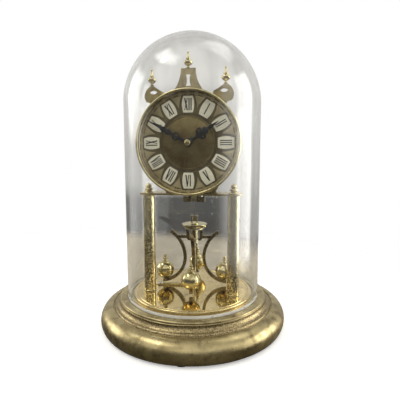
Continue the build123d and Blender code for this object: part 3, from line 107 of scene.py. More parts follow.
def make_piece(name, body, slot, shape, replaces=(), look=None, sharp=35):
    """A piece from a shape, which is (vertices in millimetres, faces). The rest is as for dress."""
    vertices, faces = shape
    mesh = bpy.data.meshes.new(name)
    mesh.from_pydata([Vector(v) * MM for v in vertices], [], faces)
    mesh.validate()
    return dress(mesh, body, slot, replaces, look, sharp)


def dress(mesh, body, slot, replaces=(), look=None, sharp=35):
    """A piece from a mesh, riding on a CAD body, with clean normals, smooth shading, and its material.

    look names the material, which is the slot's own unless it is given. sharp is the angle of a sharp edge.
    """
    piece = bpy.data.objects.new(mesh.name, mesh)
    SCENE.collection.objects.link(piece)
    cleaner = bmesh.new()
    cleaner.from_mesh(mesh)
    bmesh.ops.remove_doubles(cleaner, verts=cleaner.verts, dist=SAME_PLACE)
    bmesh.ops.recalc_face_normals(cleaner, faces=cleaner.faces)
    cleaner.to_mesh(mesh)
    cleaner.free()
    mesh.polygons.foreach_set("use_smooth", [True] * len(mesh.polygons))
    mesh.set_sharp_from_angle(angle=math.radians(sharp))
    mesh.materials.clear()
    mesh.materials.append(MATERIALS[look or slot])
    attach(piece, body)
    if replaces:
        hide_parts(*replaces)
    return piece


def turned(profile, at=(0, 0), segments=64, closed=False, facing=False, shape=None):
    """Vertices and faces of a lathe-turned shape.

    profile is (radius, height) points. Its axis is vertical through at = (x, y), or, when facing, it is the
    line through at = (x, z) towards the viewer, with heights measured to the front.
    shape(radius, height, angle) may return a changed radius and height.
    """
    vertices, rings, faces = [], [], []
    for radius, height in profile:
        ring = []
        for i in range(segments if radius > 1e-6 else 1):
            angle = TAU * i / segments
            r, h = shape(radius, height, angle) if shape else (radius, height)
            x, y = at[0] + r * math.cos(angle), at[1] + r * math.sin(angle)
            ring.append(len(vertices))
            vertices.append((x, -h, y) if facing else (x, y, h))
        rings.append(ring)
    pairs = list(zip(rings, rings[1:]))
    if closed:
        pairs.append((rings[-1], rings[0]))
    for lower, upper in pairs:
        for i in range(segments):
            j = (i + 1) % segments
            corners = [lower[i % len(lower)], lower[j % len(lower)]]
            corners += [upper[j % len(upper)], upper[i % len(upper)]]
            face = list(dict.fromkeys(corners))
            if len(face) > 2:
                faces.append(face)
    return vertices, faces


def joined(*shapes):
    """Several (vertices, faces) shapes as one."""
    vertices, faces = [], []
    for some_vertices, some_faces in shapes:
        start = len(vertices)
        vertices += some_vertices
        faces += [[start + i for i in face] for face in some_faces]
    return vertices, faces


def placed(shape, matrix):
    """A shape moved by a matrix, in millimetres."""
    vertices, faces = shape
    return [matrix @ Vector(v) for v in vertices], faces


def cut_plate(name, body, slot, matrix, loops, thickness, bevel, replaces=(), look=None):
    """A flat plate with holes and softened edges.

    loops hold (x, y) for a corner or (x, y, "AUTO") for a smooth point.
    """
    curve = bpy.data.curves.new(name, "CURVE")
    curve.dimensions = "2D"
    curve.fill_mode = "BOTH"
    curve.extrude = max(thickness / 2 - bevel, 0) * MM
    curve.bevel_depth = bevel * MM
    curve.bevel_resolution = 1
    curve.offset = -bevel * MM
    curve.resolution_u = 6
    for loop in loops:
        spline = curve.splines.new("BEZIER")
        spline.bezier_points.add(len(loop) - 1)
        spline.use_cyclic_u = True
        for point, place in zip(spline.bezier_points, loop):
            kind = place[2] if len(place) > 2 else "VECTOR"
            point.co = (place[0] * MM, place[1] * MM, 0)
            point.handle_left_type = point.handle_right_type = kind
    drawn = bpy.data.objects.new(name + "_outline", curve)
    SCENE.collection.objects.link(drawn)
    bpy.context.view_layer.update()
    mesh = bpy.data.meshes.new_from_object(drawn.evaluated_get(bpy.context.evaluated_depsgraph_get()))
    bpy.data.objects.remove(drawn)
    bpy.data.curves.remove(curve)
    mesh.name = name
    mesh.transform(Matrix.Scale(MM, 4) @ matrix @ Matrix.Scale(1 / MM, 4))
    return dress(mesh, body, slot, replaces, look)


def dial_matrix(front, clock_angle=0.0):
    """From a flat drawing to the dial: x right, y towards the given clock angle, z to the viewer."""
    upright = Matrix(((1, 0, 0, 0), (0, 0, -1, -front), (0, 1, 0, DIAL_Z), (0, 0, 0, 1)))
    return upright @ Matrix.Rotation(-math.radians(clock_angle), 4, "Z")


# --- material helpers ---

def feed(tree, made, inputs):
    """Set a node's inputs: socket names or numbers to values or to other sockets."""
    for socket, value in inputs.items():
        if isinstance(value, bpy.types.NodeSocket):
            tree.links.new(value, made.inputs[socket])
        else:
            made.inputs[socket].default_value = value


def node(tree, kind, inputs=None, **settings):
    """A new shader node with its inputs and settings; kind is its type without the usual prefix."""
    made = tree.nodes.new("ShaderNode" + kind)
    for key, value in settings.items():
        setattr(made, key, value)
    feed(tree, made, inputs or {})
    return made


def maths(tree, operation, first, second=0.0):
    return node(tree, "Math", {0: first, 1: second}, operation=operation).outputs[0]


def spread(tree, value, low, high, start=0.3, end=0.7, kind="LINEAR"):
    """value between start and end, stretched to low and high."""
    limits = {"From Min": start, "From Max": end, "To Min": low, "To Max": high}
    return node(tree, "MapRange", {"Value": value, **limits}, interpolation_type=kind).outputs[0]


def edge(tree, value, centre, soft, low=0.0, high=1.0):
    """A smooth step of a value from low to high around centre."""
    return spread(tree, value, low, high, centre - soft, centre + soft, "SMOOTHSTEP")


def object_place(tree):
    """The place on the object, in metres."""
    return node(tree, "TexCoord").outputs["Object"]


def bumped(tree, height, strength, depth):
    """A normal tilted by a height value; depth is in millimetres."""
    return node(tree, "Bump", {"Height": height, "Strength": strength, "Distance": depth * MM}).outputs[0]


def ramp(tree, factor, stops):
    """A colour ramp from (position, colour) stops."""
    made = node(tree, "ValToRGB", {"Fac": factor})
    elements = made.color_ramp.elements
    for position, colour in stops[2:]:
        elements.new(position)
    for element, (position, colour) in zip(elements, stops):
        element.position = position
        element.color = (*colour, 1)
    return made.outputs["Color"]


def mixed(tree, factor, first, second, blend="MIX"):
    """Two colours mixed; 6, 7 and 2 are the colour sockets of the mix node."""
    made = node(tree, "Mix", {0: factor, 6: first, 7: second}, data_type="RGBA", blend_type=blend)
    return made.outputs[2]


def cloud(tree, scale, detail=4.0, vector=None, distortion=0.0):
    """A noise value in the object's own coordinates; scale is features per metre."""
    inputs = {"Vector": vector or object_place(tree), "Scale": scale, "Detail": detail}
    return node(tree, "TexNoise", {**inputs, "Distortion": distortion}).outputs[0]


def new_material(name):
    """An empty node material, its tree and its Principled shader."""
    material = bpy.data.materials.new(name)
    material.use_nodes = True
    return material, material.node_tree, material.node_tree.nodes["Principled BSDF"]


def metal(name, light, dark, roughness, patches, grain, tarnish=None, relief=None, stretch=None):
    """A metal with two tones in soft patches, uneven gloss, optional tarnish and a fine grain.

    grain is (scale, depth in mm). tarnish is (colour, share from 0 to 1, scale). relief names a mesh
    attribute from 0 in the hollows to 1 on the raised parts, which darkens the hollows as painted shade.
    stretch scales the grain's axes.
    """
    material, tree, shader = new_material(name)
    tone = ramp(tree, cloud(tree, patches), [(0.35, dark), (0.65, light)])
    gloss = spread(tree, cloud(tree, patches * 3.1, 6.0), *roughness)
    if tarnish:
        stain, share, scale = tarnish
        clean, stained = 0.56 - share * 0.3, 0.86 - share * 0.2
        spots = ramp(tree, cloud(tree, scale, 8.0), [(clean, (0, 0, 0)), (stained, (1, 1, 1))])
        tone = mixed(tree, spots, tone, (*stain, 1))
    if relief:
        height = node(tree, "Attribute", attribute_name=relief).outputs["Fac"]
        # painted shade: the relief's hollows are darkened in the colour, as if shade fell in them
        shade = ramp(tree, height, [(0.2, (0.25, 0.21, 0.14)), (0.7, (1, 1, 1))])
        tone = mixed(tree, 1.0, tone, shade, "MULTIPLY")
    place = object_place(tree)
    if stretch:
        place = node(tree, "Mapping", {"Vector": place, "Scale": stretch}).outputs[0]
    normal = bumped(tree, cloud(tree, grain[0], 3.0, vector=place), 0.6, grain[1])
    feed(tree, shader, {"Base Color": tone, "Roughness": gloss, "Normal": normal, "Metallic": 1.0})
    return material


def enamel(name, light, dark, roughness, patches, bump=(1800, 0.01), coat=0.0):
    """A painted or moulded surface with faint cloudy ageing; bump is (scale, depth in mm)."""
    material, tree, shader = new_material(name)
    tone = ramp(tree, cloud(tree, patches, 6.0), [(0.35, dark), (0.65, light)])
    gloss = spread(tree, cloud(tree, patches * 2.3), *roughness)
    normal = bumped(tree, cloud(tree, bump[0], 2.0), 0.5, bump[1])
    feed(tree, shader, {"Base Color": tone, "Roughness": gloss, "Normal": normal, "Coat Weight": coat})
    return material


def finish_with(tree, factor, first, second):
    """Mix two shaders into the material's surface, and give the mix."""
    both = node(tree, "MixShader", {0: factor, 1: first.outputs[0], 2: second.outputs[0]})
    feed(tree, tree.nodes["Material Output"], {"Surface": both.outputs[0]})
    return both


def dome_glass():
    """Clear blown glass with a faint grey tint and smudges; lamps shine through it."""
    material, tree, shader = new_material("blown_glass")
    tint = ramp(tree, cloud(tree, 14, 3.0), [(0.3, (0.90, 0.905, 0.90)), (0.7, (0.955, 0.955, 0.95))])
    smudge = spread(tree, cloud(tree, 40, 5.0, distortion=1.2), 0.0, 0.02, 0.5, 0.8)
    feed(tree, shader, {"Base Color": tint, "Roughness": smudge, "Transmission Weight": 1.0, "IOR": 1.47})
    lamp_ray = node(tree, "LightPath").outputs["Is Shadow Ray"]
    clear = node(tree, "BsdfTransparent", {"Color": (0.86, 0.86, 0.85, 1)})
    finish_with(tree, lamp_ray, shader, clear)
    return material


def ground_glass():
    """The dome's ground foot: milky glass that catches the light."""
    material, tree, shader = new_material("ground_rim")
    tone = ramp(tree, cloud(tree, 60, 5.0), [(0.3, (0.86, 0.86, 0.82)), (0.7, (0.96, 0.96, 0.93))])
    gloss = spread(tree, cloud(tree, 200), 0.25, 0.45)
    feed(tree, shader, {"Base Color": tone, "Roughness": gloss, "Transmission Weight": 0.35})
    return material


def sunray_bronze():
    """The dial's centre: dull bronze brushed outwards from the middle, with stains."""
    material, tree, shader = new_material("sunray_bronze")
    centre = (0, 0, -DIAL_Z * MM)
    centred = node(tree, "Mapping", {"Vector": object_place(tree), "Location": centre}).outputs[0]
    parts = node(tree, "SeparateXYZ", {0: centred})
    angle = maths(tree, "ARCTAN2", parts.outputs["Z"], parts.outputs["X"])
    around = node(tree, "CombineXYZ", {0: angle}).outputs[0]
    rays = cloud(tree, 26, 4.0, vector=around)
    tone = ramp(tree, rays, [(0.3, (0.135, 0.107, 0.046)), (0.7, (0.27, 0.215, 0.10))])
    stains = ramp(tree, cloud(tree, 90, 6.0), [(0.45, (1, 1, 1)), (0.75, (0.62, 0.52, 0.38))])
    tone = mixed(tree, 1.0, tone, stains, "MULTIPLY")
    gloss = spread(tree, cloud(tree, 70, 4.0), 0.38, 0.55)
    normal = bumped(tree, rays, 0.35, 0.05)
    feed(tree, shader, {"Base Color": tone, "Roughness": gloss, "Normal": normal, "Metallic": 0.9})
    return material


# How the grain of a brushed metal is drawn out.
UPRIGHT, ACROSS = (1, 1, 0.1), (1, 0.1, 1)
# Each metal: light tone, dark tone, roughness, patches and grain, then tarnish, relief and stretch if it
# has them.
METALS = {
    "polished_brass": ((0.69, 0.61, 0.35), (0.55, 0.48, 0.25), (0.1, 0.22),
                       45, (1500, 0.006), ((0.26, 0.19, 0.07), 0.12, 160)),
    "mirror_brass": ((0.76, 0.61, 0.3), (0.64, 0.5, 0.23), (0.05, 0.12),
                     25, (700, 0.004), ((0.42, 0.33, 0.17), 0.08, 120)),
    "aged_brass": ((0.48, 0.4, 0.21), (0.325, 0.262, 0.13), (0.24, 0.4),
                   60, (620, 0.14), ((0.12, 0.088, 0.042), 0.22, 130)),
    "pitted_brass": ((0.52, 0.425, 0.23), (0.15, 0.112, 0.052), (0.28, 0.44),
                     850, (1500, 0.03), ((0.09, 0.06, 0.03), 0.34, 900)),
    # embossed_brass carries painted shade in the hollows of its relief
    "embossed_brass": ((0.8, 0.71, 0.43), (0.62, 0.54, 0.3), (0.13, 0.24), 300, (1300, 0.04), None, "relief"),
    "dull_brass": ((0.5, 0.41, 0.2), (0.34, 0.27, 0.12), (0.3, 0.46),
                   60, (1400, 0.012), ((0.09, 0.065, 0.035), 0.15, 150), None, (1, 1, 0.15)),
    "arm_brass": ((0.3, 0.235, 0.11), (0.18, 0.138, 0.06), (0.22, 0.36),
                  90, (1600, 0.015), ((0.05, 0.035, 0.016), 0.2, 240)),
    # hub_brass is lighter than polished brass: a painted highlight standing in for the bright reflections on
    # the hub tube
    "hub_brass": ((0.8, 0.72, 0.48), (0.64, 0.56, 0.34), (0.24, 0.36),
                  70, (1600, 0.01), ((0.3, 0.24, 0.12), 0.12, 200), None, UPRIGHT),
    "movement_brass": ((0.5, 0.4, 0.18), (0.36, 0.28, 0.12), (0.22, 0.36),
                       80, (1800, 0.01), None, None, UPRIGHT),
    "dial_bronze": ((0.27, 0.225, 0.12), (0.155, 0.128, 0.068), (0.34, 0.48),
                    36, (1500, 0.012), ((0.11, 0.085, 0.045), 0.2, 110)),
    "panel_brass": ((0.56, 0.475, 0.28), (0.4, 0.335, 0.185), (0.38, 0.52), 70, (2600, 0.012)),
    "bright_steel": ((0.62, 0.62, 0.6), (0.5, 0.5, 0.48), (0.18, 0.32),
                     120, (2400, 0.008), None, None, ACROSS),
    "cover_steel": ((0.46, 0.45, 0.42), (0.34, 0.32, 0.29), (0.35, 0.55),
                    30, (800, 0.03), ((0.16, 0.12, 0.08), 0.2, 70)),
}
# Each painted or moulded surface: light tone, dark tone, roughness and patches, then bump and coat if it
# has them.
ENAMELS = {
    "cartouche_cream": ((0.93, 0.895, 0.72), (0.82, 0.78, 0.6), (0.34, 0.5), 240),
    "outline_brown": ((0.058, 0.046, 0.025), (0.032, 0.025, 0.013), (0.4, 0.6), 300),
    "black_hands": ((0.012, 0.012, 0.011), (0.006, 0.006, 0.006), (0.3, 0.48), 220, (1800, 0.01), 0.2),
    "numeral_black": ((0.016, 0.015, 0.014), (0.008, 0.008, 0.008), (0.45, 0.6), 400),
    "dark_feet": ((0.03, 0.026, 0.02), (0.014, 0.012, 0.01), (0.55, 0.75), 160, (1500, 0.06)),
}
MATERIALS = {name: metal(name, *looks) for name, looks in METALS.items()}
MATERIALS |= {name: enamel(name, *looks) for name, looks in ENAMELS.items()}
MATERIALS |= {"dome_glass": dome_glass(), "ground_glass": ground_glass(), "dial_sunray": sunray_bronze()}

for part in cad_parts.values():
    for holder in part.material_slots:
        holder.material = MATERIALS[holder.material.name.split(".")[0]]
for name in ("pendulum_arms", "arm_brackets", "suspension_guard"):
    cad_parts[name].material_slots[0].material = MATERIALS["arm_brass"]
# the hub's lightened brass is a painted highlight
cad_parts["pendulum_hub"].material_slots[0].material = MATERIALS["hub_brass"]


# --- base ---

# The groove between the roll and the cove, and where the cove's pitted finish begins and ends.
GROOVE = 83.4
COVE_INNER, COVE_OUTER, COVE_FLOOR = 76.9, 83.6, 21.0


def spun_base():
    """The spun brass base: rolled lip, big roll, groove, cove and deck, as one hollow shell."""
    roll_top, lip_inner = 93.2, 88.0
    inner = [(74.8, 29.1), (76.8, 24.6), (79.6, 22.2)]
    outline = [(lip_inner, FLOOR_GAP)]
    outline += arc((94.7, FLOOR_GAP), (BASE_RADIUS, 9.6), (roll_top, 18.4), 26)
    outline += arc((roll_top, 18.4), (89.4, 21.0), (84.4, 22.0), 10)[1:]
    outline += arc((84.3, 22.0), (GROOVE, 20.9), (82.6, 21.9), 6)
    outline += arc((82.6, 21.9), (81.8, 23.0), (80.4, 23.4), 6)[1:]
    outline += arc((80.4, 23.4), (78.2, 25.4), (77.4, 28.6), 12)[1:]
    outline += [(76.9, 28.8), (76.7, 29.1), (76.7, 29.8)]
    outline += arc((76.7, 29.8), (76.3, 30.8), (75.3, DECK_TOP), 6)[1:]
    outline += [(70.2, DECK_TOP), (70.0, 31.0), (70.0, 30.4), (65.9, 30.4), (65.9, 31.0), (65.7, DECK_TOP)]
    outline += [(55.0, DECK_TOP), (55.0, 29.9), (64.9, 29.9), (64.9, 29.1), inner[0]]
    outline += arc(*inner, 8)[1:]
    outline += arc((84.2, 20.2), (88.6, 19.6), (91.8, 17.4), 8)
    outline += arc((91.8, 17.4), (95.3, 9.8), (93.6, FLOOR_GAP + 1), 10)[1:]
    outline += [(lip_inner, FLOOR_GAP + 1)]
    outline = divided(outline, 1.6)
    deepest = 0.10

    def worn(radius, height, angle):
        """Faint dents, always inwards."""
        spot = Vector((radius * math.cos(angle), radius * math.sin(angle), height))
        dent = deepest * abs(noise.noise(spot * 0.035))
        return radius - dent, height - dent * 0.5

    shape = turned(outline, segments=320, closed=True, shape=worn)
    base = make_piece("spun_base", "stand", "aged_brass", shape, ["base_shell"])
    base.data.materials.append(MATERIALS["pitted_brass"])
    for face in base.data.polygons:
        centre = face.center / MM
        if COVE_INNER < centre.xy.length < COVE_OUTER and centre.z > COVE_FLOOR and face.normal.z > -0.2:
            face.material_index = 1


def mirror_plate():
    """The polished plate under the columns, with a bead around its edge."""
    top, rim = PLATE_TOP, PLATE_RADIUS
    outline = [(0, DECK_TOP + 1.6), (rim - 1.6, DECK_TOP + 1.6), (rim - 1.6, DECK_TOP), (rim, DECK_TOP)]
    outline += arc((rim, top - 1.3), (rim - 0.4, top - 0.4), (rim - 1.3, top), 6)
    outline += arc((rim - 2.2, top), (rim - 2.9, top - 0.35), (rim - 3.2, top - 0.9), 5)
    outline += [(rim - 3.5, top - 0.9), (rim - 3.8, top - 0.35), (rim - 4.1, top - 0.15)]
    outline += [(rim - 4.2, top - 0.15), (rim - 5.0, top - 0.15), (0, top - 0.15)]
    shape = turned(outline, segments=192)
    make_piece("mirror_plate", "stand", "polished_brass", shape, ["base_plate"], "mirror_brass", sharp=50)


GROUND_RIM = 2.6  # height of the dome's milky foot


def blown_dome():
    """The glass dome: a straight wall, a round crown and a ground, slightly thickened rim."""
    low, high = box_mm("dome")
    outer = high.x
    wall = 2.2
    inner = outer - wall
    spring = high.z - outer
    outline = [(inner - 0.2, low.z + 0.9), (inner + 0.2, low.z + 0.2), (inner + 0.8, low.z),
               (outer - 0.8, low.z), (outer - 0.2, low.z + 0.25), (outer, low.z + 1.0)]
    rim_top = low.z + GROUND_RIM
    outline += [(outer, rim_top + (spring - rim_top) * i / 40) for i in range(41)]
    outline += [(outer * math.cos(a), spring + outer * math.sin(a)) for a in quarter(48)]
    outline += [(inner * math.cos(a), spring + inner * math.sin(a)) for a in reversed(quarter(48))]
    outline += [(inner, spring - (spring - rim_top) * i / 40) for i in range(41)]

    def blown(radius, height, angle):
        """Slow waves in the wall, always inwards."""
        spot = Vector((math.cos(angle), math.sin(angle), height / 60))
        wave = 0.22 * abs(noise.noise(spot * 1.3)) * min(1.0, radius / 20)
        return radius - wave, height

    shape = turned(outline, segments=192, closed=True, shape=blown)
    dome = make_piece("blown_dome", "dome", "dome_glass", shape, ["dome"], sharp=60)
    dome.data.materials.append(MATERIALS["ground_glass"])
    for face in dome.data.polygons:
        if face.center.z < rim_top * MM:
            face.material_index = 1


def quarter(steps):
    """Angles from the horizon to the zenith."""
    return [math.pi / 2 * i / steps for i in range(1, steps + 1)]


# --- columns and platform ---

def flower(u, v):
    """Relief from 0 to 1 of an embossed spray of flowers and leaves; u and v are in pattern cells."""
    row = math.floor(v)
    u = u + 0.5 * (row % 2)
    cx, cy = u - math.floor(u) - 0.5, v - row - 0.5
    distance, angle = math.hypot(cx, cy), math.atan2(cy, cx)
    petals = 0.30 + 0.085 * math.cos(5 * angle + row * 1.7)
    bloom = 1.0 - min(1.0, max(0.0, (distance - petals) / 0.05))
    bloom *= 0.55 + 0.45 * abs(math.cos(2.5 * angle + row * 0.85))
    eye = max(0.0, 1.0 - distance / 0.09)
    vine = max(0.0, 1.0 - abs(cy + 0.36 * math.sin(TAU * (u + 0.25))) / 0.07)
    leaf_x, leaf_y = abs(cx) - 0.40, abs(cy) - 0.28
    leaf = max(0.0, 1.0 - math.hypot(leaf_x * 1.6 + leaf_y * 0.7, leaf_y * 1.6 - leaf_x * 0.7) / 0.17)
    return min(1.0, max(bloom, eye, 0.8 * vine, leaf))


def embossed_column(side):
    """A brass tube rolled with a floral relief, and a plain band along its right-hand side, kept smooth and
    at full tone as a painted highlight facing the window on the right.
    """
    low, high = box_mm(f"column_{side}")
    axis = (low.xy + high.xy) / 2
    radius = (high.x - low.x) / 2
    cells_around, cell_height = 7, 4.4
    rows, segments = 340, 150
    highlight_strip, highlight_strip_half, depth = math.radians(-24), math.radians(17), 0.10
    vertices, faces, heights = [], [], []
    for r in range(rows + 1):
        z = low.z + (high.z - low.z) * r / rows
        for s in range(segments):
            angle = TAU * s / segments
            raised = flower(cells_around * s / segments, (z - low.z) / cell_height)
            speck = noise.noise(Vector((math.cos(angle) * 5.0, math.sin(angle) * 5.0, z * 0.85)))
            raised = min(1.0, max(0.0, raised * 0.3 + 2.2 * speck + 0.36))
            # painted highlight: the band facing the window on the right keeps full tone and no relief
            if abs((angle - highlight_strip + math.pi) % TAU - math.pi) < highlight_strip_half:
                raised = 1.0
            edge = min(1.0, min(z - low.z, high.z - z) / 1.2)
            reach = radius - depth * (1.0 - raised * edge)
            heights.append(raised)
            vertices.append((axis.x + reach * math.cos(angle), axis.y + reach * math.sin(angle), z))
    for r in range(rows):
        for s in range(segments):
            t = (s + 1) % segments
            low_row, high_row = r * segments, (r + 1) * segments
            faces.append([low_row + s, low_row + t, high_row + t, high_row + s])
    faces.append(list(range(segments))[::-1])
    faces.append([rows * segments + s for s in range(segments)])
    shape = vertices, faces
    column = make_piece(f"embossed_column_{side}", "stand", "embossed_brass", shape, [f"column_{side}"])
    # this layer also carries the painted shade of the hollows into the colour
    layer = column.data.attributes.new("relief", "FLOAT", "POINT")
    layer.data.foreach_set("value", heights)
    return axis


def ring_bead(at, bottom, height, radius, hole):
    """A turned ring with a rounded rim."""
    half = height / 2
    outline = [(hole, bottom), (radius - half, bottom)]
    outline += arc((radius - half, bottom), (radius, bottom + half), (radius - half, bottom + height), 8)[1:]
    outline += [(hole, bottom + height)]
    return turned(outline, at, 72, closed=True)


COLUMN_FINIAL = [(0, 0), (4.6, 0), (4.6, 0.7), (3.9, 1.1), (2.7, 1.5), (2.5, 1.9), (3.6, 2.3),
                 (4.3, 3.0), (4.5, 3.6), (4.2, 4.4), (3.4, 5.0), (2.2, 5.3), (1.9, 5.6), (2.7, 5.9),
                 (3.1, 6.6), (3.0, 7.4), (2.5, 8.3), (1.7, 9.0), (0.9, 9.5), (0, 9.7)]
CREST_FINIAL = [(0, 0), (1.9, 0), (2.0, 0.5), (1.3, 0.9), (1.2, 1.6), (2.0, 2.4), (3.2, 3.3), (3.95, 4.4),
                (4.15, 5.3), (3.9, 6.1), (3.1, 6.8), (2.0, 7.2), (1.4, 7.5), (1.3, 7.8), (2.0, 8.2),
                (2.2, 8.8), (1.9, 9.4), (1.3, 9.9), (1.15, 10.6), (0.9, 12.2), (0.75, 13.2), (1.0, 13.7),
                (1.05, 14.2), (0.7, 14.9), (0, 15.2)]
BALL_FINIAL = [(0, 0), (1.3, 0), (1.2, 0.3), (1.5, 0.5), (2.3, 1.0), (2.55, 1.9), (2.4, 2.8), (1.7, 3.4),
               (1.0, 3.6), (1.0, 3.75), (1.6, 4.0), (1.9, 4.7), (1.8, 5.4), (1.2, 6.2), (0, 6.5)]


def smoothed(profile, steps=4):
    """A turned profile with a soft curve through its points."""
    made = [profile[0]]
    for i in range(1, len(profile)):
        before, start = profile[max(i - 2, 0)], profile[i - 1]
        end, after = profile[i], profile[min(i + 1, len(profile) - 1)]
        for s in range(1, steps + 1):
            t = s / steps
            radius, height = [0.5 * (2 * p1 + (p2 - p0) * t + (2 * p0 - 5 * p1 + 4 * p2 - p3) * t * t
                                     + (3 * p1 - p0 - 3 * p2 + p3) * t ** 3)
                              for p0, p1, p2, p3 in zip(before, start, end, after)]
            made.append((max(0.0, radius), max(-1.0, height)))
    return made


def finial(profile, at, foot, segments=48):
    """A finial turned from its profile, standing on height foot."""
    top = profile[-1][1]
    raised = [(r, min(max(h, 0.0), top) + foot) for r, h in smoothed(profile)]
    raised[-1] = (0, top + foot)
    return turned(raised, at, segments)


def columns():
    """Two embossed columns, each between two collars and under a turned finial."""
    collar_low, collar_high = box_mm("column_collars")
    height, radius, hole = 1.0, 6.6, 2.4
    for side in ("left", "right"):
        axis = embossed_column(side)
        for end, bottom in (("foot", collar_low.z), ("head", collar_high.z - height)):
            make_piece(f"column_{end}_ring_{side}", "stand", "polished_brass",
                       ring_bead(axis, bottom, height, radius, hole), ["column_collars"])
        make_piece(f"column_finial_{side}", "stand", "polished_brass",
                   finial(COLUMN_FINIAL, axis, PLATFORM_TOP), ["column_finials"])


# --- dial ---

def dial_disc():
    """The dial's plate: a rolled edge, two fine grooves for the border and a step to the centre."""
    front, back = DIAL_FRONT, -DIAL_HIGH.y
    outline = [(2.7, back), (DIAL_RADIUS, back), (DIAL_RADIUS, front - 0.2), (DIAL_RADIUS - 0.3, front)]
    for groove in (48.3, 45.6, 28.6):
        outline += [(groove + 0.3, front), (groove, front - 0.25), (groove - 0.3, front)]
    outline += [(25.0, front), (2.7, front)]
    shape = turned(outline, (0, DIAL_Z), 192, closed=True, facing=True)
    make_piece("dial_disc", "stand", "dial_bronze", shape, ["dial_plate"])


def dial_middle():
    """The raised centre disc with a sunray finish and a rounded edge."""
    radius = box_mm("dial_centre")[1].x
    front = DIAL_FRONT + 0.4
    outline = [(2.7, DIAL_FRONT), (radius, DIAL_FRONT), (radius - 0.05, front - 0.15), (radius - 0.3, front),
               (radius - 1.4, front), (radius - 1.6, front - 0.12), (radius - 1.8, front), (2.7, front)]
    shape = turned(outline, (0, DIAL_Z), 160, closed=True, facing=True)
    make_piece("dial_middle", "stand", "dial_bronze", shape, ["dial_centre"], "dial_sunray")


# How far beads and leaves, and flat lines and figures, reach into what carries them.
SUNK, FLAT_SUNK = 0.1, 0.05


def dial_beading():
    """The ring of small round beads around the centre."""
    count, circle, radius, height = 90, 27.1, 0.62, 0.4
    profile = [(0, DIAL_FRONT - SUNK), (radius, DIAL_FRONT - SUNK)]
    for angle in [0.0] + quarter(4)[:-1]:
        profile.append((radius * math.cos(angle), DIAL_FRONT + height * math.sin(angle)))
    profile.append((0, DIAL_FRONT + height))
    shapes = []
    for i in range(count):
        turn = math.radians(360 * i / count)
        at = circle * math.sin(turn), DIAL_Z + circle * math.cos(turn)
        shapes.append(turned(profile, at, 10, facing=True))
    make_piece("dial_beading", "stand", "dial_bronze", joined(*shapes), look="outline_brown")


def leaf(clock_angle, size):
    """One pointed leaf of the border, raised to a low ridge in the middle; size 1 is the largest."""
    turn = math.radians(clock_angle)
    radius, corners = 46.95, 12
    long, wide, tall = 3.3 * size, 1.7 * size ** 0.5, 0.3
    along = Vector((math.cos(turn), 0, -math.sin(turn)))
    outward = Vector((math.sin(turn), 0, math.cos(turn)))
    centre = outward * radius + Vector((0, -DIAL_FRONT, DIAL_Z))
    rim = []
    for angle in [TAU * k / corners for k in range(corners)]:
        pointed = 1 if abs(math.cos(angle)) > 0.99 else 0.82
        rim.append(centre + along * long * math.cos(angle) * pointed + outward * wide * math.sin(angle))
    into, out = Vector((0, SUNK, 0)), Vector((0, 0.04, 0))
    vertices = [point + into for point in rim] + [point - out for point in rim]
    vertices += [centre - Vector((0, tall, 0)), centre + into]
    ridge, faces = 2 * corners, []
    for k in range(corners):
        j = (k + 1) % corners
        faces += [[k, j, corners + j, corners + k], [corners + k, corners + j, ridge], [j, k, ridge + 1]]
    return vertices, faces


def leaf_border():
    """Pointed leaves laid end to end in the dial's outer border, with small buds between them."""
    shapes = []
    for i in range(36):
        shapes += [leaf(10 * i, 1.0), leaf(10 * i + 5.0, 0.45)]
    make_piece("leaf_border", "stand", "dial_bronze", joined(*shapes), look="panel_brass", sharp=20)


NUMERAL_RADIUS = 36.5


def barrel_outline(grow=0.0):
    """The cartouche's shape: flat ends and bowed sides."""
    neck, wide, long = 4.6 + grow, 6.05 + grow, 7.85 + grow
    right = arc((neck, -long), (wide, 0), (neck, long), 12)
    left = arc((-neck, long), (-wide, 0), (-neck, -long), 12)
    return right + left


def at_numeral(front, hour):
    """From a flat drawing to the place of an hour's numeral."""
    return dial_matrix(front, 30 * hour) @ Matrix.Translation((0, NUMERAL_RADIUS, 0))


def cartouches():
    """Twelve cream enamelled cartouches, each in a thin dark frame."""
    for hour in range(12):
        edging, plate = at_numeral(DIAL_FRONT + 0.15, hour), at_numeral(DIAL_FRONT + 0.2, hour)
        cut_plate(f"cartouche_frame_{hour or 12}", "stand", "dial_bronze", edging,
                  [barrel_outline(0.42), barrel_outline(-0.05)], 0.3, 0.05, look="outline_brown")
        cut_plate(f"cartouche_{hour or 12}", "stand", "cartouche_cream", plate,
                  [barrel_outline()], 0.4, 0.1, ["hour_cartouches"])


def petal_panels():
    """Twelve light satin panels between the cartouches, wide at the border, with brown edges."""
    top, waist, bottom = 44.9, 39.2, 34.6
    half_top, half_waist, half_bottom = math.radians(7.2), math.radians(3.4), math.radians(1.3)

    def spot(radius, turn):
        return radius * math.sin(turn), radius * math.cos(turn)

    rim = [spot(top, half_top * (1 - i / 4)) for i in range(9)]
    left = arc(rim[-1], spot(waist, -half_waist), spot(bottom, -half_bottom), 8)
    right = arc(spot(bottom, half_bottom), spot(waist, half_waist), rim[0], 8)
    panel = [rim[:-1] + left + right[:-1]]
    lines = joined(ribbon(left, 0.45, 0.3), ribbon(right, 0.45, 0.3))
    for gap in range(12):
        clock_angle = 30 * gap + 15
        cut_plate(f"petal_panel_{gap + 1}", "stand", "dial_bronze",
                  dial_matrix(DIAL_FRONT + 0.08, clock_angle), panel, 0.16, 0.04, look="panel_brass")
        make_piece(f"petal_lines_{gap + 1}", "stand", "dial_bronze",
                   placed(lines, dial_matrix(DIAL_FRONT, clock_angle)), look="outline_brown")


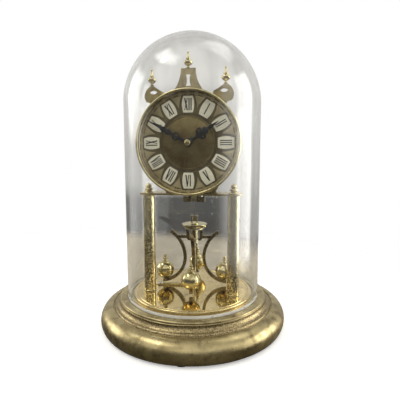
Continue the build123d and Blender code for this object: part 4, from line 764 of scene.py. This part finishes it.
def ribbon(path, width, height):
    """A flat bar of the given width and height along a path of (x, y) points."""
    vertices, faces = [], []
    for i, (x, y) in enumerate(path):
        back, ahead = path[max(i - 1, 0)], path[min(i + 1, len(path) - 1)]
        along = Vector((ahead[0] - back[0], ahead[1] - back[1])).normalized()
        side = Vector((-along.y, along.x)) * width / 2
        for sign, z in ((1, -FLAT_SUNK), (-1, -FLAT_SUNK), (-1, height), (1, height)):
            vertices.append((x + sign * side.x, y + sign * side.y, z))
    for start in range(0, 4 * (len(path) - 1), 4):
        for k in range(4):
            j = (k + 1) % 4
            faces.append([start + k, start + j, start + 4 + j, start + 4 + k])
    faces.append([3, 2, 1, 0])
    faces.append([len(vertices) - 4 + k for k in range(4)])
    return vertices, faces


# Hour figures: the width of each letter, and its strokes as (x at the top, x at the foot, thickness).
STROKES = {"I": (1.95, [(0.975, 0.975, 0.98)]),
           "V": (4.0, [(0.7, 2.1, 1.2), (3.4, 2.1, 0.7)]),
           "X": (4.0, [(0.8, 3.2, 1.2), (3.3, 0.7, 0.7)])}
FIGURE_HEIGHT, WIDEST_FIGURE = 10.8, 8.1


def slab(corners, height):
    """A thin prism over a flat outline."""
    count = len(corners)
    vertices = [(x, y, -FLAT_SUNK) for x, y in corners] + [(x, y, height) for x, y in corners]
    faces = [list(range(count))[::-1], list(range(count, 2 * count))]
    faces += [[k, (k + 1) % count, count + (k + 1) % count, count + k] for k in range(count)]
    return vertices, faces


def numeral(text):
    """A Roman figure with heavy and light strokes and hairline serifs."""
    total = sum(STROKES[letter][0] for letter in text)
    squeeze = min(1.0, WIDEST_FIGURE / total)
    top, hairline, overhang = FIGURE_HEIGHT / 2, 0.17, 0.22
    x, shapes = -total / 2, []
    for letter in text:
        width, strokes = STROKES[letter]
        for index, (head, foot, thick) in enumerate(strokes):
            a, b, half = (x + head) * squeeze, (x + foot) * squeeze, thick * squeeze / 2
            stroke = [(b - half, -top), (b + half, -top), (a + half, top), (a - half, top)]
            shapes.append(slab(stroke, 0.16 - 0.03 * index))
            reach = half + overhang
            for centre, end in ((a, top), (b, -top)):
                left, right, low, high = centre - reach, centre + reach, end - hairline, end + hairline
                shapes.append(slab([(left, low), (right, low), (right, high), (left, high)], 0.10))
        x += width
    return joined(*shapes)


def numerals():
    """The twelve hour figures, upright to the nearer edge of the dial."""
    figures = ["XII", "I", "II", "III", "IIII", "V", "VI", "VII", "VIII", "IX", "X", "XI"]
    for hour, text in enumerate(figures):
        flip = math.pi if 4 <= hour <= 8 else 0.0
        seat = at_numeral(DIAL_FRONT + 0.4, hour) @ Matrix.Rotation(flip, 4, "Z")
        make_piece(f"numeral_{hour or 12}", "stand", "black_hands", placed(numeral(text), seat),
                   look="numeral_black")


def rolled_bezel():
    """The bezel: a bright rolled lip, a dark inner step and a skirt around the dial."""
    low, high = box_mm("bezel")
    radius, front, back = high.x, -low.y, -high.y
    outline = [(radius - 1.5, back), (radius, back)]
    outline += arc((radius, front - 1.4), (radius - 1.4, front), (radius - 2.6, front - 1.2), 10)
    outline += [(radius - 2.6, front - 1.9), (radius - 2.2, front - 2.2)]
    inner = [(radius - 2.2, front - 2.2), (radius - 2.5, front - 4.4), (radius - 1.8, front - 6.4)]
    outline += arc(*inner, 6)[1:]
    shape = turned(outline, (0, DIAL_Z), 192, closed=True, facing=True)
    make_piece("rolled_bezel", "stand", "polished_brass", shape, ["bezel"])


# --- hands ---

def mirrored(side):
    """A closed smooth outline from its right-hand side, listed from the foot to the sharp tip."""
    right = [(x, y, "AUTO") for x, y in side[:-1]]
    return right + side[-1:] + [(-x, y, kind) for x, y, kind in reversed(right)]


def ring(radius, at=(0.0, 0.0), count=12):
    """A round hole's outline."""
    return [(at[0] + radius * math.cos(TAU * i / count), at[1] + radius * math.sin(TAU * i / count), "AUTO")
            for i in range(count)]


# The right-hand sides of the scrolled hands, from the boss to the tip.
HOUR_SIDE = [(3.0, -3.0), (4.1, 0.4), (2.6, 3.6), (1.5, 6.0), (1.3, 9.0), (2.2, 11.4), (4.2, 12.4),
             (5.7, 14.6), (5.7, 17.2), (4.0, 18.6), (2.9, 18.6), (3.5, 20.0), (3.2, 22.0), (1.8, 23.2),
             (1.2, 24.2), (1.7, 26.0), (1.3, 28.6), (0.8, 32.0), (0.0, 36.0)]
MINUTE_SIDE = [(2.6, -2.6), (3.6, 0.4), (2.2, 3.2), (1.4, 5.6), (1.3, 8.0), (2.2, 9.4), (3.6, 10.6),
               (4.0, 12.8), (3.2, 15.0), (1.8, 16.2), (1.6, 18.0), (2.2, 19.6), (3.0, 21.2), (2.9, 23.0),
               (1.9, 24.4), (2.5, 26.4), (2.3, 28.4), (1.3, 30.2), (0.9, 34.0), (0.6, 40.0), (0.0, 47.5)]
HOUR_ANGLE, MINUTE_ANGLE = 55.6, 298.8
HOUR_HOLES = [ring(1.1, (3.5, 15.6), 8), ring(1.1, (-3.5, 15.6), 8)]
MINUTE_HOLES = [ring(1.5, (1.2, 12.6), 8), ring(0.7, (-2.0, 12.4), 8)]


def hands():
    """The two hands, each turned to its time, and the turned nut over them."""
    for name, body, angle, side, holes, bore in (
            ("hour_hand", "hour_pipe", HOUR_ANGLE, HOUR_SIDE, HOUR_HOLES, 2.3),
            ("minute_hand", "centre_arbor", MINUTE_ANGLE, MINUTE_SIDE, MINUTE_HOLES, 1.3)):
        low, high = box_mm(name)
        seat = dial_matrix(-(low.y + high.y) / 2, angle)
        cut_plate(f"{name}_scroll", body, "black_hands", seat, [mirrored(side), ring(bore)] + holes,
                  high.y - low.y, 0.12, [name])
    back = -box_mm("hand_nut")[1].y
    profile = [(0.8, 0), (2.9, 0), (3.0, 0.5), (2.7, 0.9), (2.2, 1.1), (2.3, 1.5), (2.0, 2.0), (1.4, 2.2),
               (1.0, 1.8), (0.8, 1.4)]
    raised = [(radius, back + height) for radius, height in profile]
    make_piece("turned_hand_nut", "centre_arbor", "polished_brass",
               turned(raised, (0, DIAL_Z), 48, closed=True, facing=True), ["hand_nut"])


# --- crest ---

def crest_finials():
    """The tall finial in the middle of the crest and one on each side bracket."""
    low, high = box_mm("crest_finials")
    forward = (low.y + high.y) / 2
    widest, tall = max(CREST_FINIAL)[0], CREST_FINIAL[-1][1]
    side_x = high.x - widest
    for name, x, foot in (("middle", 0.0, high.z - tall), ("left", -side_x, low.z), ("right", side_x, low.z)):
        make_piece(f"crest_finial_{name}", "stand", "polished_brass",
                   finial(CREST_FINIAL, (x, forward), foot), ["crest_finials"])


# --- pendulum ---

def spun_ball(at, low, top):
    """A ball with a soldered seam between two fine grooves, from its boss to its finial's seat."""
    radius, middle, boss, steps = 10.0, 50.6, 1.3, 48
    steepest = math.acos((boss + 0.1) / radius)
    profile = [(0, low), (boss, low)]
    for i in range(steps + 1):
        tilt = steepest * (2 * i / steps - 1)
        level = radius * math.sin(tilt)
        seam = 0.18 * math.exp(-(level / 0.42) ** 2)
        groove = 0.12 * math.exp(-((abs(level) - 1.1) / 0.3) ** 2)
        profile.append(((radius + seam - groove) * math.cos(tilt), middle + level))
    return turned(profile + [(boss, top), (0, top)], at, 72)


def pendulum():
    """Four spun balls, each on its boss and under its finial."""
    low, high = box_mm("pendulum_balls")
    circle = 33.1
    for arm in range(4):
        turn = PENDULUM_TURN + math.pi / 2 * arm
        at = PENDULUM_AXIS.x + circle * math.cos(turn), PENDULUM_AXIS.y + circle * math.sin(turn)
        make_piece(f"spun_ball_{arm + 1}", "pendulum", "polished_brass", spun_ball(at, low.z, high.z),
                   ["pendulum_balls"])
        make_piece(f"ball_finial_{arm + 1}", "pendulum", "polished_brass",
                   finial(BALL_FINIAL, at, high.z, 40), ["ball_finials"])


def guard_strap():
    """The polished strap between the two dark blocks of the suspension guard."""
    low, high = box_mm("suspension_guard")
    half, face = 3.1, 6.3
    strap = [(-half, low.z + 1.2), (half, low.z + 1.2), (half, high.z - 1.6), (-half, high.z - 1.6)]
    seat = Matrix(((1, 0, 0, 0), (0, 0, -1, face), (0, 1, 0, 0), (0, 0, 0, 1)))
    cut_plate("guard_strap", "stand", "polished_brass", seat, [strap], 0.2, 0.05)


def knurled_disc():
    """The regulating disc: a plain top plate over a knurled ring."""
    low, high = DISC_LOW, DISC_HIGH
    radius = (high.x - low.x) / 2
    bore = 3.45

    def knurl(r, h, angle):
        """Sixty flutes around the outer wall of the lower ring."""
        return (r - 0.35 * (0.5 - 0.5 * math.cos(60 * angle)), h) if 12.0 < r < 12.6 else (r, h)

    plate = [(bore, high.z - 1.1), (radius - 0.4, high.z - 1.1), (radius, high.z - 0.8),
             (radius, high.z - 0.3), (radius - 0.3, high.z), (bore + 0.6, high.z), (bore, high.z - 0.2)]
    boss = [(bore, low.z), (11.6, low.z), (12.4, low.z + 0.35), (12.4, low.z + 1.25), (11.8, low.z + 1.6),
            (7.0, low.z + 1.6), (7.0, high.z - 1.1), (bore, high.z - 1.1)]
    shape = joined(turned(plate, PENDULUM_AXIS, 120, closed=True),
                   turned(boss, PENDULUM_AXIS, 360, closed=True, shape=knurl))
    make_piece("knurled_disc", "regulating_disc", "polished_brass", shape, ["regulating_disc"], sharp=30)


def lock_lever():
    """The pendulum lock: a flat lever with a row of turned beads and a ring handle."""
    low = box_mm("lock_lever")[0].z
    pivot, tip = Vector((-38.0, 2.2)), Vector((-3.1, 5.3))
    length = (tip - pivot).length
    turn = math.atan2(tip.y - pivot.y, tip.x - pivot.x)
    thickness = 1.0
    seat = Matrix.Translation((*pivot, low + thickness / 2)) @ Matrix.Rotation(turn, 4, "Z")
    outline = [(-12.0, -1.0), (-3.0, -1.2), (-1.2, -2.4, "AUTO"), (1.2, -2.4, "AUTO"), (3.0, -1.0),
               (length - 1, -1.0), (length, 0.0), (length - 1, 1.0), (3.0, 1.0), (1.2, 2.4, "AUTO"),
               (-1.2, 2.4, "AUTO"), (-3.0, 1.2), (-12.0, 1.0), (-13.0, 2.0, "AUTO"), (-15.4, 1.9, "AUTO"),
               (-16.4, 0.0, "AUTO"), (-15.4, -1.9, "AUTO"), (-13.0, -2.0, "AUTO")]
    cut_plate("lock_lever_strip", "lock_lever", "polished_brass", seat,
              [outline, ring(1.3), ring(0.9, (-14.2, 0.0), 8)], thickness, 0.15, ["lock_lever"])
    count, radius, half_height, lift = 11, 1.45, 1.25, 0.1
    first, last = 4.2, length - 1.6
    level = low + half_height + lift
    angles = [math.pi * k / 10 for k in range(11)]
    profile = [(max(radius * math.sin(a), 0), level - half_height * math.cos(a)) for a in angles]
    shapes = []
    for i in range(count):
        centre = seat @ Vector((first + i * (last - first) / (count - 1), 0, 0))
        shapes.append(turned(profile, centre.xy, 20))
    make_piece("lock_lever_beads", "lock_lever", "polished_brass", joined(*shapes), ["lock_lever"])


# --- studio ---

TABLE_RADIUS, TABLE_SHIFT, TABLE_FADE = 0.48, -0.12, 0.07


def studio_floor():
    """A round pale table top with a soft edge. The camera sees it as bright as the room, shadows apart.
    Other rays see its front darkened, a painted shade.
    """
    rim = [(TABLE_SHIFT + TABLE_RADIUS * math.cos(TAU * i / 96), TABLE_RADIUS * math.sin(TAU * i / 96), 0)
           for i in range(96)]
    mesh = bpy.data.meshes.new("floor")
    mesh.from_pydata(rim, [], [list(range(96))])
    floor = bpy.data.objects.new("floor", mesh)
    SCENE.collection.objects.link(floor)
    material, tree, shader = new_material("pale_floor")
    tones = [(0.3, (0.42, 0.38, 0.31)), (0.7, (0.54, 0.49, 0.40))]
    tone = ramp(tree, cloud(tree, 9, 6.0, distortion=0.8), tones)
    place = object_place(tree)
    depth = node(tree, "SeparateXYZ", {0: place}).outputs["Y"]
    # painted shade: the table's front is darkened for every ray but the camera's, so its reflections stay
    # dark as under a shadow
    painted_front_shade = edge(tree, depth, -0.03, 0.07, 0.25, 1.0)
    tone = node(tree, "VectorMath", {0: tone, "Scale": painted_front_shade}, operation="SCALE").outputs[0]
    feed(tree, shader, {"Base Color": tone, "Roughness": 0.8, "Specular IOR Level": 0.1})
    white = node(tree, "BsdfDiffuse", {"Color": (0.96, 0.96, 0.96, 1)})
    lift = node(tree, "Emission", {"Color": (1, 1, 1, 1), "Strength": 0.34})
    bright = node(tree, "AddShader", {0: white.outputs[0], 1: lift.outputs[0]})
    seen = finish_with(tree, node(tree, "LightPath").outputs["Is Camera Ray"], shader, bright)
    middle = (TABLE_SHIFT, 0, 0)
    reach = node(tree, "VectorMath", {0: place, 1: middle}, operation="DISTANCE").outputs["Value"]
    gone = edge(tree, reach, TABLE_RADIUS - TABLE_FADE, TABLE_FADE)
    finish_with(tree, gone, seen, node(tree, "BsdfTransparent"))
    mesh.materials.append(material)


# The room around the clock, by the height of the line of sight (its sine) and the brightness there.
ROOM = [(-1.0, 0.30), (-0.225, 0.34), (-0.20, 0.46), (-0.10, 0.52), (0.0, 0.58), (0.25, 0.78), (0.5, 0.79),
        (0.8, 0.62), (1.0, 0.52)]
ROOM_TINT = (1.0, 0.985, 0.945)
# Soft-edged areas of the room: bearing from straight behind the clock (to the right positive) in degrees,
# height of the line of sight, softness of both edges, and how much light is added or what share is kept.
WINDOWS = {"window": ((57, 92), (-0.36, 0.55), (5, 0.05), 4.2),
           "window_edge": ((90, 122), (-0.36, 0.50), (7, 0.06), 1.1),
           "sky_right": ((25, 82), (0.76, 0.96), (12, 0.05), 1.6),
           "sky_left": ((-150, -80), (0.79, 0.92), (12, 0.03), 3.4),
           "window_left": ((-98, -64), (0.10, 0.53), (5, 0.08), 3.2),
           "lamp": ((-122, -110), (0.79, 0.87), (4, 0.03), 6.0)}
SHADES = {"furniture": ((-21, -3), (-0.30, -0.100), (4, 0.010), 0.20),
          "wall_left": ((-60, -22), (-0.30, -0.085), (5, 0.03), 0.45)}
# In front of the clock: a dark side of the room at eye level, and a pale ceiling over it.
FRONT = {"from": (100, 125), "dark_below": (0.22, 0.42), "dark": 0.28, "ceiling": 1.6}
# The brightest the room gets in a mirror image, and looking straight through the glass.
BRIGHTEST = {"mirrored": 20.0, "through_glass": 1.25}


def times(tree, first, second):
    return maths(tree, "MULTIPLY", first, second)


def plus(tree, first, second):
    return maths(tree, "ADD", first, second)


def patch(tree, bearing, height, area):
    """1 inside a soft-edged area of the room and 0 outside it."""
    (left, right), (low, high), (soft_side, soft_height), _ = area
    shares = [edge(tree, bearing, left, soft_side), edge(tree, bearing, right, soft_side, 1.0, 0.0),
              edge(tree, height, low, soft_height), edge(tree, height, high, soft_height, 1.0, 0.0)]
    return times(tree, times(tree, *shares[:2]), times(tree, *shares[2:]))


def studio_world():
    """A pale room with soft windows, dark furniture behind the clock and a dark side behind the viewer."""
    world = bpy.data.worlds.new("studio")
    SCENE.world = world
    world.use_nodes = True
    tree = world.node_tree
    direction = node(tree, "TexCoord").outputs["Generated"]
    way = node(tree, "SeparateXYZ", {0: direction})
    height = way.outputs["Z"]
    bearing = maths(tree, "DEGREES", maths(tree, "ARCTAN2", way.outputs["X"], way.outputs["Y"]))
    share = spread(tree, height, 0.0, 1.0, start=-1.0, end=1.0)
    room = ramp(tree, share, [((level + 1) / 2, (glow, glow, glow)) for level, glow in ROOM])
    drawn = node(tree, "Mapping", {"Vector": direction, "Scale": (1, 1, 0.3)}).outputs[0]
    streaks = spread(tree, cloud(tree, 16, 4.0, vector=drawn, distortion=0.5), 0.84, 1.12)
    light = times(tree, room, streaks)
    for area in SHADES.values():
        kept = plus(tree, times(tree, patch(tree, bearing, height, area), area[3] - 1.0), 1.0)
        light = times(tree, light, kept)
    start, end = FRONT["from"]
    ahead = edge(tree, maths(tree, "ABSOLUTE", bearing), (start + end) / 2, (end - start) / 2)
    low, high = FRONT["dark_below"]
    gain = edge(tree, height, (low + high) / 2, (high - low) / 2, FRONT["dark"] - 1.0, FRONT["ceiling"] - 1.0)
    light = times(tree, light, plus(tree, times(tree, ahead, gain), 1.0))
    for area in WINDOWS.values():
        glow = times(tree, patch(tree, bearing, height, area), area[3])
        light = plus(tree, light, times(tree, glow, streaks))
    rays = node(tree, "LightPath")
    bounces = plus(tree, rays.outputs["Glossy Depth"], rays.outputs["Diffuse Depth"])
    limit = edge(tree, bounces, 0.5, 0.5, BRIGHTEST["through_glass"], BRIGHTEST["mirrored"])
    light = maths(tree, "MINIMUM", light, limit)
    shaded = node(tree, "VectorMath", {0: ROOM_TINT, "Scale": light}, operation="SCALE").outputs[0]
    tone = mixed(tree, rays.outputs["Is Camera Ray"], shaded, (1.0, 1.0, 1.0, 1.0))
    feed(tree, tree.nodes["Background"], {"Color": tone, "Strength": 1.0})


CAMERA_AT = Vector((0.0649, -0.3506, 0.1701))
CAMERA_PITCH, CAMERA_TURN = -6.52, 9.26
LENS, SENSOR = 30.6, 36.0


def studio_camera():
    """A camera a little above the dial's middle and to the right."""
    data = bpy.data.cameras.new("camera")
    data.lens, data.sensor_width = LENS, SENSOR
    data.clip_start = 0.01
    camera = bpy.data.objects.new("camera", data)
    camera.location = CAMERA_AT
    camera.rotation_euler = (math.radians(90 + CAMERA_PITCH), 0, math.radians(CAMERA_TURN))
    SCENE.collection.objects.link(camera)
    SCENE.camera = camera


# --- assembly ---

for build in (spun_base, mirror_plate, columns, dial_disc, dial_middle, dial_beading, leaf_border,
              cartouches, petal_panels, numerals, rolled_bezel, hands, crest_finials, pendulum, guard_strap,
              knurled_disc, lock_lever, blown_dome, studio_floor, studio_world, studio_camera):
    build()
SCENE.view_settings.view_transform = "Standard"
